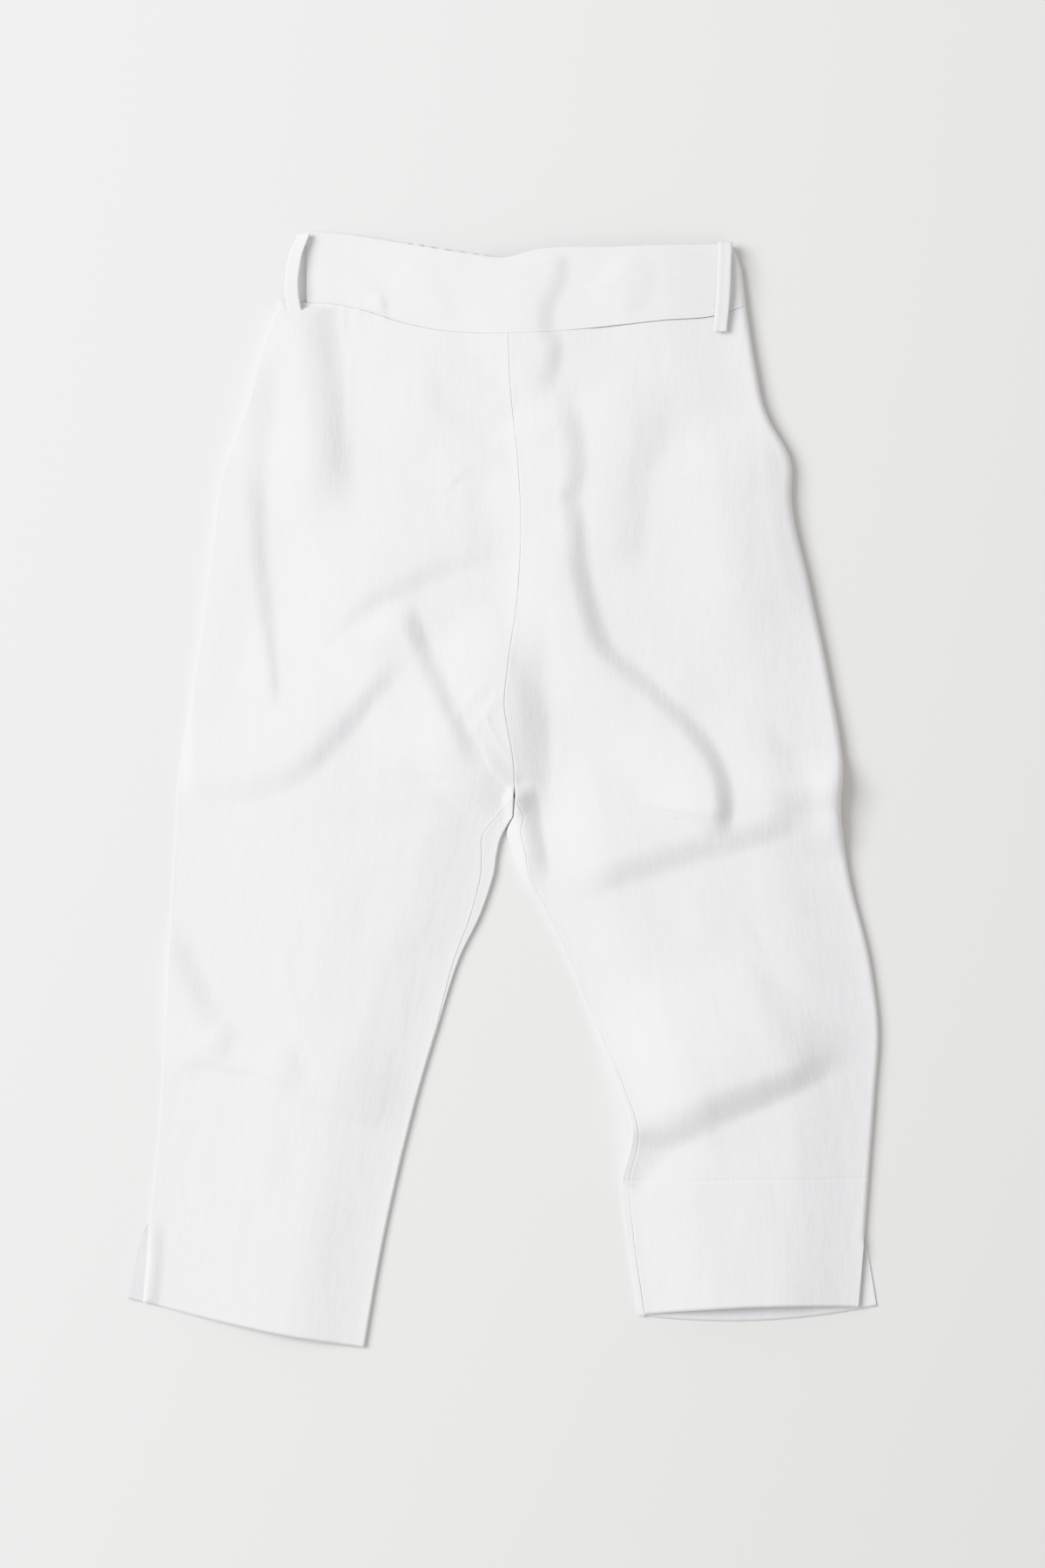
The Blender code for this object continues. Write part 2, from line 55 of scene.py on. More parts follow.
# %% Edge tables
CROTCH = 408.0
CENTRE_SEAM = [  # down, x, y
    (0, 4, 358), (42, 6, 314), (87, 11, 266), (143, 14, 210), (208, 11, 148), (262, 4, 98),
    (300, 1, 64), (325, 4, 46), (355, 8, 22), (380, 9, 2), (408, 8, -22),
]
RIGHT_OUTER = [
    (0, -176, 386), (42, -191, 347), (87, -202, 304), (143, -222, 248), (208, -232, 179),
    (290, -244, 90), (350, -256, 17), (408, -260, -41), (478, -264, -107), (567, -268, -190),
    (625, -271, -245), (700, -276, -307), (737, -280, -344), (805, -285, -406),
]
RIGHT_INNER = [
    (408, 8, -22), (420, -1, -37), (434, -5, -52), (450, -7, -66), (478, -17, -97), (518, -35, -135),
    (567, -53, -192), (625, -70, -250), (700, -91, -338), (737, -98, -373), (805, -110, -442),
]
LEFT_OUTER = [
    (0, 192, 381), (42, 200, 331), (87, 210, 292), (115, 227, 260), (143, 228, 228),
    (208, 242, 161), (290, 258, 85), (350, 268, 24), (408, 267, -24), (440, 272, -60),
    (520, 291, -141), (573, 297, -193), (620, 294, -241), (692, 289, -308), (733, 286, -350),
    (795, 281, -410),
]
LEFT_INNER = [
    (408, 8, -22), (416, 3, -33), (428, 6, -48), (440, 10, -61), (480, 30, -97), (520, 50, -136),
    (573, 72, -191), (620, 90, -235), (660, 101, -275), (692, 94, -310), (733, 97, -350),
    (795, 107, -417),
]
print("leg rows:", len(RIGHT_OUTER), len(LEFT_OUTER))

# %% Height tables and the two legs
RIGHT_PROFILE = [  # down, half height of the outer edge, of the inner edge, swell of the top
    (0, 1.4, 3.0, 5.2), (60, 0.9, 3.0, 5.2), (143, 0.8, 3.0, 5.2), (380, 0.8, 3.0, 5.2),
    (408, 0.8, 2.3, 5.2), (567, 0.8, 1.6, 5.4), (700, 0.9, 1.6, 5.6), (805, 1.3, 1.7, 6.0),
]
LEFT_PROFILE = [
    (0, 4.6, 3.0, 5.2), (143, 5.2, 3.0, 5.2), (290, 4.6, 3.0, 5.2), (340, 5.4, 3.0, 5.2),
    (380, 12.0, 3.0, 5.2), (408, 9.0, 2.3, 5.2), (440, 4.2, 1.7, 5.3), (480, 3.2, 1.1, 5.4),
    (567, 3.0, 0.9, 5.4), (620, 2.9, 1.6, 5.4), (652, 2.9, 3.8, 5.4), (672, 2.8, 1.2, 5.6),
    (692, 2.8, 0.9, 5.6), (795, 2.4, 1.2, 6.0),
]
RIGHT_GRAIN = [(0, 0), (400, 0), (500, -20), (805, -75)]  # down, x of the straight grain line
LEFT_GRAIN = [(0, 0), (400, 0), (573, 33), (692, 52), (795, 58)]
RIGHT_INSET = [(392, 0), (412, 15), (434, 12), (470, 8.5), (518, 3.5), (560, 0.8), (805, 0.8)]
LEFT_INSET = [(392, 0), (412, 10), (430, 11), (445, 8), (480, 6), (700, 6), (795, 5)]
RIGHT_LEG = dict(name="right", outer=RIGHT_OUTER, inner=RIGHT_INNER, profile=RIGHT_PROFILE,
                 length=805.0, hem_line=700.0, vent_top=737.0, inset=RIGHT_INSET, flare=12.5,
                 flare_power=0.45, front_bow=3.0, back_bow=3.0, seed=3, grain=RIGHT_GRAIN,
                 edge_rise=140.0, hem_groove=0.12, lift=2.4,
                 outer_reach=1.0, inner_reach=1.0, outer_round=0.2)
LEFT_LEG = dict(name="left", outer=LEFT_OUTER, inner=LEFT_INNER, profile=LEFT_PROFILE,
                length=795.0, hem_line=692.0, vent_top=733.0, inset=LEFT_INSET, flare=14.5,
                flare_power=1.0, front_bow=-4.0, back_bow=8.0, seed=3, grain=LEFT_GRAIN,
                edge_rise=68.0, hem_groove=0.3, lift=0.3,
                outer_reach=5.0, inner_reach=3.0, outer_round=1.3)
WAIST_SEAM = [  # x, y
    (-176, 386), (-156, 384), (-136, 383), (-109, 377), (-81, 368), (-54, 362), (-19, 359),
    (15, 359), (70, 363), (126, 369), (167, 373), (192, 381),
]
BAND_TOP = [
    (-160, 441), (-123, 438), (-81, 431), (-26, 422), (2, 419), (26, 425), (84, 427), (180, 430),
]
BACK_WAIST = [(-176, 386), (4, 358), (192, 381)]
BAND_LEFT_EDGE = [(0.0, -156), (1.0, -156)]  # share of the band's depth, x
BAND_RIGHT_EDGE = [(0.0, 192), (0.35, 190), (0.7, 187), (1.0, 180)]
print("hem to waist:", RIGHT_LEG["length"], "mm down the middle of the right leg")


# %% [markdown]
# ## Folds
# Linen lies in a few long folds, where the cloth was pulled or pushed as it was put down. Each is
# a long gentle rise to a crest and a short steep drop on the other side. A row of the table gives
# the path of the drop in millimetres, with the steep side on the left hand of someone walking it.
# Cloth simulation makes lively folds, but not in chosen places. Written this way a fold lies where
# it should, and can be moved, bent or softened by changing one row.

# %% Fold table
# path of the steep line,
# height at start and end, steep width at start and end, gentle width, fade in and out
FOLDS = [
    # long S down from the band
    ([(43, 426), (44, 405), (34, 383), (32, 363), (39, 346), (32, 319), (19, 290)],
      3.2, 4.0, 18, 20, 60, 12, 40),
    # long S down the left front
    ([(40, 328), (50, 297), (55, 272), (55, 244), (51, 228), (55, 210), (59, 170), (66, 141),
      (77, 110), (101, 88), (128, 64), (154, 37), (167, 14), (172, -8), (171, -24), (167, -42)],
      6.2, 8.4, 25, 19, 58, 40, 38),
    # soft drop beside the S
    ([(124, 335), (115, 283), (104, 244), (99, 199), (94, 161)], 4.4, 3.8, 42, 32, 56, 44, 44),
    # swell on the left hip
    ([(208, 321), (217, 252), (220, 210), (228, 169), (246, 100)], 6.5, 4.0, 26, 18, 110, 60, 60),
    # centre ridge down to the crotch
    ([(15, 155), (17, 110), (19, 72), (20, 38), (19, 3), (18, -38)], 3.6, 18.0, 40, 36, 76, 46, 50),
    # shade beside the crotch
    ([(15, 6), (19, -14), (23, -37), (28, -60), (33, -82)], 13.0, 9.0, 21, 18, 11, 16, 34),
    # arch on the right hip
    ([(15, 183), (-18, 181), (-46, 177), (-79, 161), (-112, 139), (-148, 90)],
      2.2, 5.4, 17, 28, 84, 60, 46),
    # sweep to the right knee
    ([(-75, 112), (-112, 67), (-135, 41), (-164, 15), (-203, 2), (-257, 1)],
      5.6, 6.6, 21, 30, 100, 34, 10),
    # pull to the crotch
    ([(-83, 155), (-72, 126), (-53, 80), (-34, 41), (-18, 12)], 6.4, 6.8, 22, 18, 66, 38, 48),
    # right hip wedge
    ([(-190, 362), (-194, 300), (-197, 259), (-196, 201), (-189, 141), (-183, 97), (-179, 57)],
      14.0, 3.2, 38, 7, 64, 40, 36),
    # fall of the right hip to the wedge
    ([(-208, 210), (-217, 155), (-222, 107), (-236, 45)], 5.5, 5.0, 44, 36, 44, 50, 44),
    # gather under the right loop
    ([(-149, 382), (-146, 344), (-143, 321), (-139, 279), (-135, 238), (-132, 197)],
      14.0, 13.0, 38, 40, 66, 4, 70),
    # second gather
    ([(-119, 348), (-119, 307), (-120, 248)], 0.7, 0.5, 3, 3, 5, 20, 40),
    # third gather
    ([(-124, 382), (-125, 354)], 1.0, 0.7, 4, 4, 7, 3, 14),
    # fourth gather
    ([(-113, 391), (-112, 382), (-115, 359)], 1.0, 0.6, 4, 4, 7, 4, 14),
    # fifth gather
    ([(-97, 391), (-93, 377), (-92, 359)], 1.1, 0.7, 4, 4, 8, 5, 14),
    # round the right loop
    ([(-175, 390), (-171, 376), (-164, 366), (-150, 359)], 1.2, 1.0, 4, 4, 9, 6, 6),
    # arc on the band
    ([(-156, 412), (-123, 410), (-100, 395), (-92, 375)], 1.7, 2.0, 13, 9, 24, 14, 10),
    # outer arc on the band
    ([(-81, 423), (-61, 408), (-47, 386), (-43, 365)], 1.3, 1.2, 16, 16, 34, 14, 18),
    # middle of the band
    ([(88, 430), (110, 409), (105, 386), (92, 364)], 2.4, 1.6, 26, 22, 50, 18, 20),
    # broad arc under the band
    ([(-61, 345), (-54, 304), (-26, 280), (-6, 266), (4, 238)], 2.0, 2.0, 20, 22, 50, 34, 34),
    # left knee fold
    ([(253, -17), (226, -24), (194, -35), (154, -46), (114, -58), (77, -70), (36, -88)],
      5.4, 8.0, 27, 30, 96, 52, 56),
    # left shin fold
    ([(284, -199), (240, -223), (200, -239), (160, -253), (121, -271), (95, -293), (84, -308)],
      7.0, 19.0, 21, 52, 104, 56, 10),
    # right shin drop
    ([(-268, -100), (-250, -147), (-236, -177), (-209, -208)], 8.0, 8.0, 25, 26, 44, 26, 26),
    # right shin crease
    ([(-153, -239), (-179, -231), (-210, -222), (-251, -216)], 4.2, 4.8, 13, 9, 44, 50, 24),
    # right shin swell
    ([(-64, -274), (-118, -256), (-164, -242), (-206, -231)], 3.4, 2.6, 18, 16, 64, 44, 40),
    # above the right hem
    ([(-170, -259), (-179, -290), (-177, -324)], 0.8, 0.9, 18, 18, 30, 28, 28),
    # long crease in the right shin
    ([(-177, -93), (-169, -141), (-156, -197)], 0.4, 0.4, 6, 6, 14, 40, 40),
    # long crease down the right leg
    ([(-66, -128), (-75, -169), (-80, -214)], 0.4, 0.4, 6, 6, 16, 40, 40),
    # faint crease on the left shin
    ([(181, -86), (200, -124), (226, -176)], 0.5, 0.5, 8, 8, 18, 40, 40),
    # crease beside the crotch
    ([(-44, 50), (-29, 72), (-12, 89)], 0.5, 0.6, 5, 4, 10, 14, 12),
    # second crease beside the crotch
    ([(-33, 38), (-18, 57), (-3, 79)], 0.5, 0.6, 5, 5, 10, 14, 12),
    # hairline crease over the crotch
    ([(-15, 64), (-7, 45), (-1, 34), (5, 28)], 0.5, 0.5, 1.8, 1.8, 4, 6, 8),
    # folded lip over the crotch
    ([(10, -26), (8, -10), (3, 1), (-4, 9), (-12, 19), (-19, 41)],
      1.7, 1.0, 3.6, 3.6, 12.0, 10, 16),
    # strip beside the right slit
    ([(-275, -331), (-273, -369), (-277, -408)], 3.4, 5.0, 11, 12, 5, 24, 1),
]
print(len(FOLDS), "main folds")


# %% Curves and soft steps
def smooth_step(value):
    t = np.clip(value, 0.0, 1.0)
    return t * t * (3.0 - 2.0 * t)


def curve(table, column, at):
    """A smooth curve through one column of a table whose first column is the position."""
    knots = np.array([row[0] for row in table], float)
    values = np.array([row[column] for row in table], float)
    slopes = np.gradient(values, knots)
    at = np.clip(np.asarray(at, float), knots[0], knots[-1])
    i = np.clip(np.searchsorted(knots, at, side="right") - 1, 0, len(knots) - 2)
    span = knots[i + 1] - knots[i]
    t = (at - knots[i]) / span
    return (
        values[i] * (1 + 2 * t) * (1 - t) ** 2
        + values[i + 1] * t * t * (3 - 2 * t)
        + slopes[i] * span * t * (1 - t) ** 2
        - slopes[i + 1] * span * t * t * (1 - t)
    )


def steady(table, column, at):
    """Like curve, but level at every row, so that it never overshoots."""
    knots = [row[0] for row in table]
    n = min(int(np.searchsorted(knots, at, side="right")), len(table) - 1)
    before, after = table[max(n - 1, 0)], table[n]
    share = smooth_step((at - before[0]) / (after[0] - before[0]))
    return before[column] + (after[column] - before[column]) * share


def soft_noise(u, v, cell_u, cell_v, seed):
    """Smooth random hills between -1 and 1, one about every cell, the same on every run."""
    table = np.random.default_rng(seed).uniform(-1, 1, (64, 64))
    a, b = u / cell_u, v / cell_v
    i, j = np.floor(a).astype(int), np.floor(b).astype(int)
    fa, fb = smooth_step(a - i), smooth_step(b - j)
    low = table[i % 64, j % 64] * (1 - fa) + table[(i + 1) % 64, j % 64] * fa
    high = table[i % 64, (j + 1) % 64] * (1 - fa) + table[(i + 1) % 64, (j + 1) % 64] * fa
    return low * (1 - fb) + high * fb


print("crotch point:", [round(float(curve(CENTRE_SEAM, c, CROTCH)), 1) for c in (1, 2)], "mm")


# %% Height of the folds at any point
CREST_OFFSET = 0.45  # the crest stands this share of the steep width before the steepest line
PATH_STEPS = 48  # points along a fold's smoothed path
END_GENTLE = 0.3  # share of the gentle width that is left where a fold fades out
SEARCH = 1.5  # how far beside a path its fold can be felt, as a share of its widest side


def fold_height(fold, x, y):
    """Height that one row of the fold table adds at floor points x, y in millimetres."""
    points, low, high, steep, steep_end, gentle, fade_in, fade_out = fold
    table = [(n, px, py) for n, (px, py) in enumerate(points)]
    at = np.linspace(0, len(points) - 1, PATH_STEPS)
    path = np.stack([curve(table, 1, at), curve(table, 2, at)], axis=1)
    reach = max(steep, steep_end, gentle) * SEARCH
    result = np.zeros(x.shape)
    near = (x > path[:, 0].min() - reach) & (x < path[:, 0].max() + reach)
    near &= (y > path[:, 1].min() - reach) & (y < path[:, 1].max() + reach)
    if not near.any():
        return result
    start, step = path[:-1], np.diff(path, axis=0)
    where = np.stack([x[near], y[near]], axis=-1)[:, None, :] - start
    share = np.clip((where * step).sum(-1) / (step**2).sum(-1), 0, 1)
    away = where - share[..., None] * step
    distance = np.hypot(away[..., 0], away[..., 1])
    nearest = distance.argmin(-1)
    row = np.arange(len(nearest))
    side = (step[:, 0] * away[..., 1] - step[:, 1] * away[..., 0])[row, nearest]
    along = (nearest + share[row, nearest]) / len(step)
    whole = np.hypot(step[:, 0], step[:, 1]).sum()
    travel = along * whole
    fade = smooth_step(travel / fade_in) * smooth_step((whole - travel) / fade_out)
    drop = steep + (steep_end - steep) * along
    across = np.copysign(distance[row, nearest], side) + CREST_OFFSET * drop
    width = np.where(across > 0, drop, gentle * (END_GENTLE + (1 - END_GENTLE) * fade))
    bump = (1 - np.clip(np.abs(across) / width, 0, 1) ** 2) ** 2
    result[near] = (low + (high - low) * along) * bump * fade
    return result


def all_folds(x, y):
    return sum(fold_height(fold, x, y) for fold in FOLDS)


print("fold height in the left knee:", all_folds(np.array([160.0]), np.array([-20.0])).round(1), "mm")

# %% [markdown]
# ## One leg as a flattened tube
# A station is one straight line across the leg. Its section starts at the outer edge, climbs over
# the rolled edge, runs along the top and comes down at the inner edge. The back panel takes the same
# two rolled edges and the floor, and reaches over the inner edge to the inseam, which lies a little
# way onto the top. Two flat sheets laid on each other would meet in a sharp line. Working both
# panels from one section gives the soft roll of real cloth and keeps them edge to edge.

# %% Station geometry
GAP = 0.006  # between two pieces at a seam
INNER_SHARE = 0.6  # share of the gap that each leg keeps off the centre line
CLOTH = 0.5  # thickness of the linen
TURN_UP = 0.4  # what the turned-up hem adds to it
MIDDLE = 3.0  # half height of the leg between its edges
EDGE_RISE = 68.0  # the top swells over this distance from an inner edge
CLOSED = 392.0  # the crotch seams meet here, a little above the point where the legs part
CLOSING = 12.0  # the two edges roll shut over this length above the crotch
FLATTENING = 130.0  # and the top sinks towards them over this length
INNER_ROUND = 0.3  # plan width of an inner rolled edge, as a share of half its height
WAIST_BEND = 90.0  # the stations straighten out over this length below the waist seam


def rise(distance, length=EDGE_RISE):
    """Swell of the top with distance from an edge, 0 at the edge and 1 well inside."""
    return smooth_step(distance / length)


def station_ends(leg, down, layer):
    """Outer and inner end of a station on the floor. The back flares out beside its open slit."""
    outer = np.array([curve(leg["outer"], 1, down), curve(leg["outer"], 2, down)])
    edge = CENTRE_SEAM if down <= CROTCH else leg["inner"]
    inner = np.array([curve(edge, 1, down), curve(edge, 2, down)])
    inner = inner - (inner - outer) / np.linalg.norm(inner - outer) * GAP * INNER_SHARE
    vent = (down - leg["vent_top"]) / (leg["length"] - leg["vent_top"])
    if layer == "back" and vent > 0:
        reach = leg["flare"] * vent ** leg["flare_power"]
        outer = outer + (outer - inner) / np.linalg.norm(outer - inner) * reach
    return outer, inner


def plan_point(leg, down, layer, share):
    """Floor points at a share of the way along a station, bent to the waist seam and the hem."""
    outer, inner = station_ends(leg, down, layer)
    x = outer[0] + (inner[0] - outer[0]) * share
    y = outer[1] + (inner[1] - outer[1]) * share
    first = np.array([curve(leg["outer"], c, 0.0) for c in (1, 2)])
    last = np.array([curve(CENTRE_SEAM, c, 0.0) for c in (1, 2)])
    waist_x = first[0] + (last[0] - first[0]) * share
    waist_y = first[1] + (last[1] - first[1]) * share
    if layer == "front":
        y = y + (curve(WAIST_SEAM, 1, waist_x) - waist_y) * (1 - smooth_step(down / WAIST_BEND))
    hem = smooth_step((down - leg["hem_line"]) / (leg["length"] - leg["hem_line"]))
    return x, y - leg[layer + "_bow"] * hem * 4 * share * (1 - share)


for leg in (RIGHT_LEG, LEFT_LEG):
    ends = station_ends(leg, leg["length"], "front")
    print(leg["name"], "leg opening:", round(float(np.linalg.norm(ends[1] - ends[0]))), "mm")


# %% Height of the top
FINE_RUMPLE = (11, 48, 0.11)  # size across and along the leg, height
BROAD_RUMPLE = (34, 60, 0.55)
NOISE_START = 500  # keeps the places in the noise positive
HEM_STEP = 4.0  # the cloth thickens over this length at the hem line
HEM_STITCH = 1.1  # half width of the groove that the hem's stitches pull
HOLLOW = 0.4  # least height left open between the two layers


def grain(leg, x, down):
    """Distance across the cloth from the straight grain line, which bends with the leg."""
    return x - curve(leg["grain"], 1, down)


def rumple(leg, across, down):
    """The small soft unevenness of washed linen, drawn out along the leg."""
    parts = [soft_noise(across + NOISE_START, down, cell_u, cell_v, leg["seed"] + n) * height
             for n, (cell_u, cell_v, height) in enumerate((FINE_RUMPLE, BROAD_RUMPLE))]
    return parts[0] + parts[1]


def wall(leg, down):
    """Thickness of the cloth, which is greater below the hem line."""
    return CLOTH + TURN_UP * smooth_step((down - leg["hem_line"]) / HEM_STEP + 0.5)


def top_height(leg, down, s, width, x, y):
    """Height of the front at distances s along a station, whose floor points are x, y."""
    share = np.clip(s / width, 0, 1)
    flattened = smooth_step((down - CLOSED) / FLATTENING + 1.0)
    outer_roll, inner_roll = (steady(leg["profile"], c, down) for c in (1, 2))
    by_outer, by_inner = (1 - share) ** leg["outer_reach"], share ** leg["inner_reach"]
    roll = outer_roll * by_outer + inner_roll * by_inner + MIDDLE * (1 - by_outer - by_inner)
    swell = steady(leg["profile"], 3, down)
    inside = rise(s, leg["edge_rise"]) * (1 - flattened * (1 - rise(width - s)))
    folds = all_folds(x, y) * (0.5 + 0.5 * inside)
    height = 2 * roll + swell * inside + folds
    height = height + rumple(leg, grain(leg, x, down), down) * inside
    past_hem = down - leg["hem_line"]
    height = height - leg["hem_groove"] * math.exp(-((past_hem / HEM_STITCH) ** 2))
    return np.maximum(height, 2 * wall(leg, down) + HOLLOW)


print("cloth:", wall(LEFT_LEG, 0.0), "mm, and inside the hem", wall(LEFT_LEG, 750.0), "mm")


# %% The look of a seam
SEAM_GROOVE = 0.9  # half width of the groove
ALLOWANCE = 6.0  # width of the cloth pressed open below a seam
ALLOWANCE_LIFT = 0.2  # how much it raises the cloth over it
INSEAM_GROOVE = 0.1
WAIST_GROOVE = 0.08
WAIST_DIP = 0.8  # share of a seam's rise and fall that shows at the waist
LEAST_INSET = 0.6  # the inseam lies at least this far onto the top
SLIT_ROUND = 12.0  # the rolled outer edge opens over this length at the top of the slit


def seam_dip(distance, groove):
    """A seam stands up a little over its pressed allowance, with a groove along the middle."""
    lift = ALLOWANCE_LIFT * (1 - smooth_step(distance / ALLOWANCE))
    return groove * (1 - smooth_step(distance / SEAM_GROOVE)) - lift


print("dip in the middle of the inseam:", seam_dip(0.0, INSEAM_GROOVE), "mm")


# %% Sections of the front and the back
def leg_sections(leg, down):
    """Front and back section of one station: distances, heights, width and end normals."""
    outer, inner = station_ends(leg, down, "front")
    closed_outer = 1.0 - smooth_step((down - leg["vent_top"]) / SLIT_ROUND)
    closed_inner = smooth_step((down - CLOSED) / CLOSING + 1.0)
    width = float(np.linalg.norm(inner - outer))
    roll_out = float(steady(leg["profile"], 1, down))
    roll_in = float(steady(leg["profile"], 2, down))
    quarter = np.linspace(0.0, math.pi / 2, 24)
    round_out, round_in = leg["outer_round"] * roll_out, INNER_ROUND * roll_in
    arc_out = round_out * (1 - np.cos(quarter))
    arc_in = width - round_in * (1 - np.cos(quarter))
    middle = np.linspace(round_out, width - round_in, 240)
    s = np.concatenate([arc_out[:-1], middle, arc_in[::-1][1:]])
    x, y = plan_point(leg, down, "front", s / width)
    top = top_height(leg, down, s, width, x, y)
    inset = max(float(curve(leg["inset"], 1, down)), LEAST_INSET) * closed_inner
    wrapped = inset > 5 * GAP
    seam = width - inset
    groove = INSEAM_GROOVE * smooth_step(inset / 3.0)  # the centre seam lies too flat to show one
    top = top - seam_dip(np.abs(s - seam), groove) * smooth_step(down / 3.0)
    top = top - seam_dip(np.full(s.shape, down), WAIST_GROOVE) * WAIST_DIP
    ease_out = np.sqrt(1 - (1 - np.clip(s / round_out, 0, 1)) ** 2)
    ease_in = np.sqrt(1 - (1 - np.clip((width - s) / round_in, 0, 1)) ** 2)
    top = top + (roll_out + (top - roll_out) * ease_out - top) * closed_outer
    top = top + (roll_in + (top - roll_in) * ease_in - top) * closed_inner
    keep = s < seam - GAP / 2
    front_s = np.append(s[keep], seam - GAP / 2)
    front_z = np.append(top[keep], np.interp(seam - GAP / 2, s, top))
    if closed_outer > 0.5:
        front_z[0] += GAP / 2
    back_outer, back_inner = station_ends(leg, down, "back")
    back_width = float(np.linalg.norm(back_inner - back_outer))
    up_out = roll_out * (1 - np.sin(quarter)) * closed_outer
    up_in = roll_in * (1 - np.sin(quarter)) * closed_inner
    floor_s = np.linspace(roll_out, back_width - roll_in, 120)[1:-1]
    back_s = np.concatenate([roll_out * (1 - np.cos(quarter)), floor_s,
                             (back_width - roll_in * (1 - np.cos(quarter)))[::-1]])
    back_z = np.concatenate([up_out, np.zeros(len(floor_s)), up_in[::-1]])
    reach = np.linalg.norm(back_outer - outer)
    if reach > 0.1:
        back_z = back_z + leg["lift"] * (1 - smooth_step(back_s / reach)) * reach / leg["flare"]
    back_z[0] -= GAP / 2 * closed_outer
    if wrapped:
        over = (s > seam + GAP / 2) & (s < width)
        over_s = np.append(s[over][::-1], seam + GAP / 2)
        over_z = np.append(top[over][::-1], np.interp(seam + GAP / 2, s, top))
        back_s = np.concatenate([back_s, over_s + back_width - width])
        back_z = np.concatenate([back_z, over_z * closed_inner])
    slope = (np.interp(seam + 0.2, s, top) - np.interp(seam - 0.2, s, top)) / 0.4
    at_seam = np.array([slope, -1.0]) / math.hypot(slope, 1.0) if wrapped else None
    ends = (np.array([1.0, 0.0]) if closed_outer > 0.5 else None, at_seam)
    return (front_s, front_z, width, ends), (back_s, back_z, back_width, ends)


print("top of the left leg at the knee:", leg_sections(LEFT_LEG, 400.0)[0][1].max().round(1), "mm")

# %% [markdown]
# ## From sections to a closed shell
# Every section is walked again in even steps, which gives a grid of points for the outside. Moving
# each point inwards by the cloth's thickness gives the inside. A Solidify modifier could do it too,
# but its rims would not meet the next panel so closely. Two grids and four rims make one closed
# body, so the cloth shows a real edge at the hems, the slits and the waist.

# %% Resample a section
FEEL = 0.6  # a normal is felt over this distance to either side


def resample(s, z, marks, counts, inward, ends):
    """Even steps between the marks along a section, with the normal at each of its new points."""
    length = np.concatenate([[0], np.cumsum(np.hypot(np.diff(s), np.diff(z)))])
    marks = [0.0, *marks(length, s), length[-1]]
    keep = [np.linspace(a, b, n + 1)[:-1] for a, b, n in zip(marks[:-1], marks[1:], counts)]
    keep = np.append(np.concatenate(keep), length[-1])
    ahead, behind = np.clip(keep + FEEL, 0, length[-1]), np.clip(keep - FEEL, 0, length[-1])
    ds = np.interp(ahead, length, s) - np.interp(behind, length, s)
    dz = np.interp(ahead, length, z) - np.interp(behind, length, z)
    size = np.hypot(ds, dz)
    ns, nz = inward * -dz / size, inward * ds / size
    for place, direction in zip((0, -1), ends):
        if direction is not None:
            ns[place], nz[place] = direction
    return np.interp(keep, length, s), np.interp(keep, length, z), ns, nz


print("normals felt over", 2 * FEEL, "mm")


# %% Mesh a shell with its cloth map
def shell(name, outside, inside, cloth_u, cloth_v, material):
    """A closed body between two grids. The cloth map holds distances on the cloth in metres."""
    rows, columns = outside.shape[:2]
    half = rows * columns
    points = np.concatenate([outside.reshape(-1, 3), inside.reshape(-1, 3)]) * MM
    index = np.arange(half).reshape(rows, columns)
    a, b, c, d = index[:-1, :-1], index[:-1, 1:], index[1:, 1:], index[1:, :-1]
    main = np.stack([a, b, c, d], -1).reshape(-1, 4)
    faces = [main, main[:, ::-1] + half]
    edges = (index[:, 0], index[:, -1], index[0], index[-1])
    for edge, turn in zip(edges, (False, True, True, False)):
        rim = np.stack([edge[:-1], edge[1:], edge[1:] + half, edge[:-1] + half], -1)
        faces.append(rim[:, ::-1] if turn else rim)
    faces = np.concatenate(faces)
    corners = points[faces]
    volume = np.einsum("ij,ij->i", corners[:, 0], np.cross(corners[:, 1], corners[:, 2])).sum()
    volume += np.einsum("ij,ij->i", corners[:, 0], np.cross(corners[:, 2], corners[:, 3])).sum()
    if volume < 0:
        faces = faces[:, ::-1]
    mesh = bpy.data.meshes.new(name)
    mesh.from_pydata(points.tolist(), [], faces.tolist())
    cloth = np.stack([cloth_u, cloth_v], -1).reshape(-1, 2) * MM
    cloth = np.concatenate([cloth, cloth])
    layer = mesh.uv_layers.new(name="Cloth")
    layer.data.foreach_set("uv", cloth[faces.reshape(-1)].astype(np.float32).ravel())
    mesh.polygons.foreach_set("use_smooth", [n < 2 * len(main) for n in range(len(faces))])
    mesh.materials.append(material)
    mesh.update()
    thing = bpy.data.objects.new(name, mesh)
    bpy.context.scene.collection.objects.link(thing)
    print(f"{name}: {2 * len(faces)} triangles")
    return thing


def put_on(thing, node):
    """Ties a finished piece to the solid that it stands for."""
    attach(thing, "root")
    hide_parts(node)


# %% [markdown]
# ## The linen
# White linen looks matt, with a faint cool cast. Close up it is a plain weave of uneven yarn: some
# threads swell into slubs, and these show as fine streaks down the leg. The threads are far too fine
# to model, so two wave textures and stretched noise make them as bump, and the colour stays almost
# even. All of it reads the cloth map, so the weave runs along each panel and bends with the leg.

# %% Linen material
WARP_PITCH, WEFT_PITCH = 0.00062, 0.00066  # metres from thread to thread
YARN_RELIEF = 0.00004  # heights of the bump, in metres
WARP_RELIEF = 0.00012
WEFT_RELIEF = 0.00009
PRESS_RELIEF = 0.0005
WAVE_UNIT = 20  # a wave texture of scale 1 has this many radians in a metre
SLUB_SHADE = 0.975  # the thin places in the yarn are this much darker


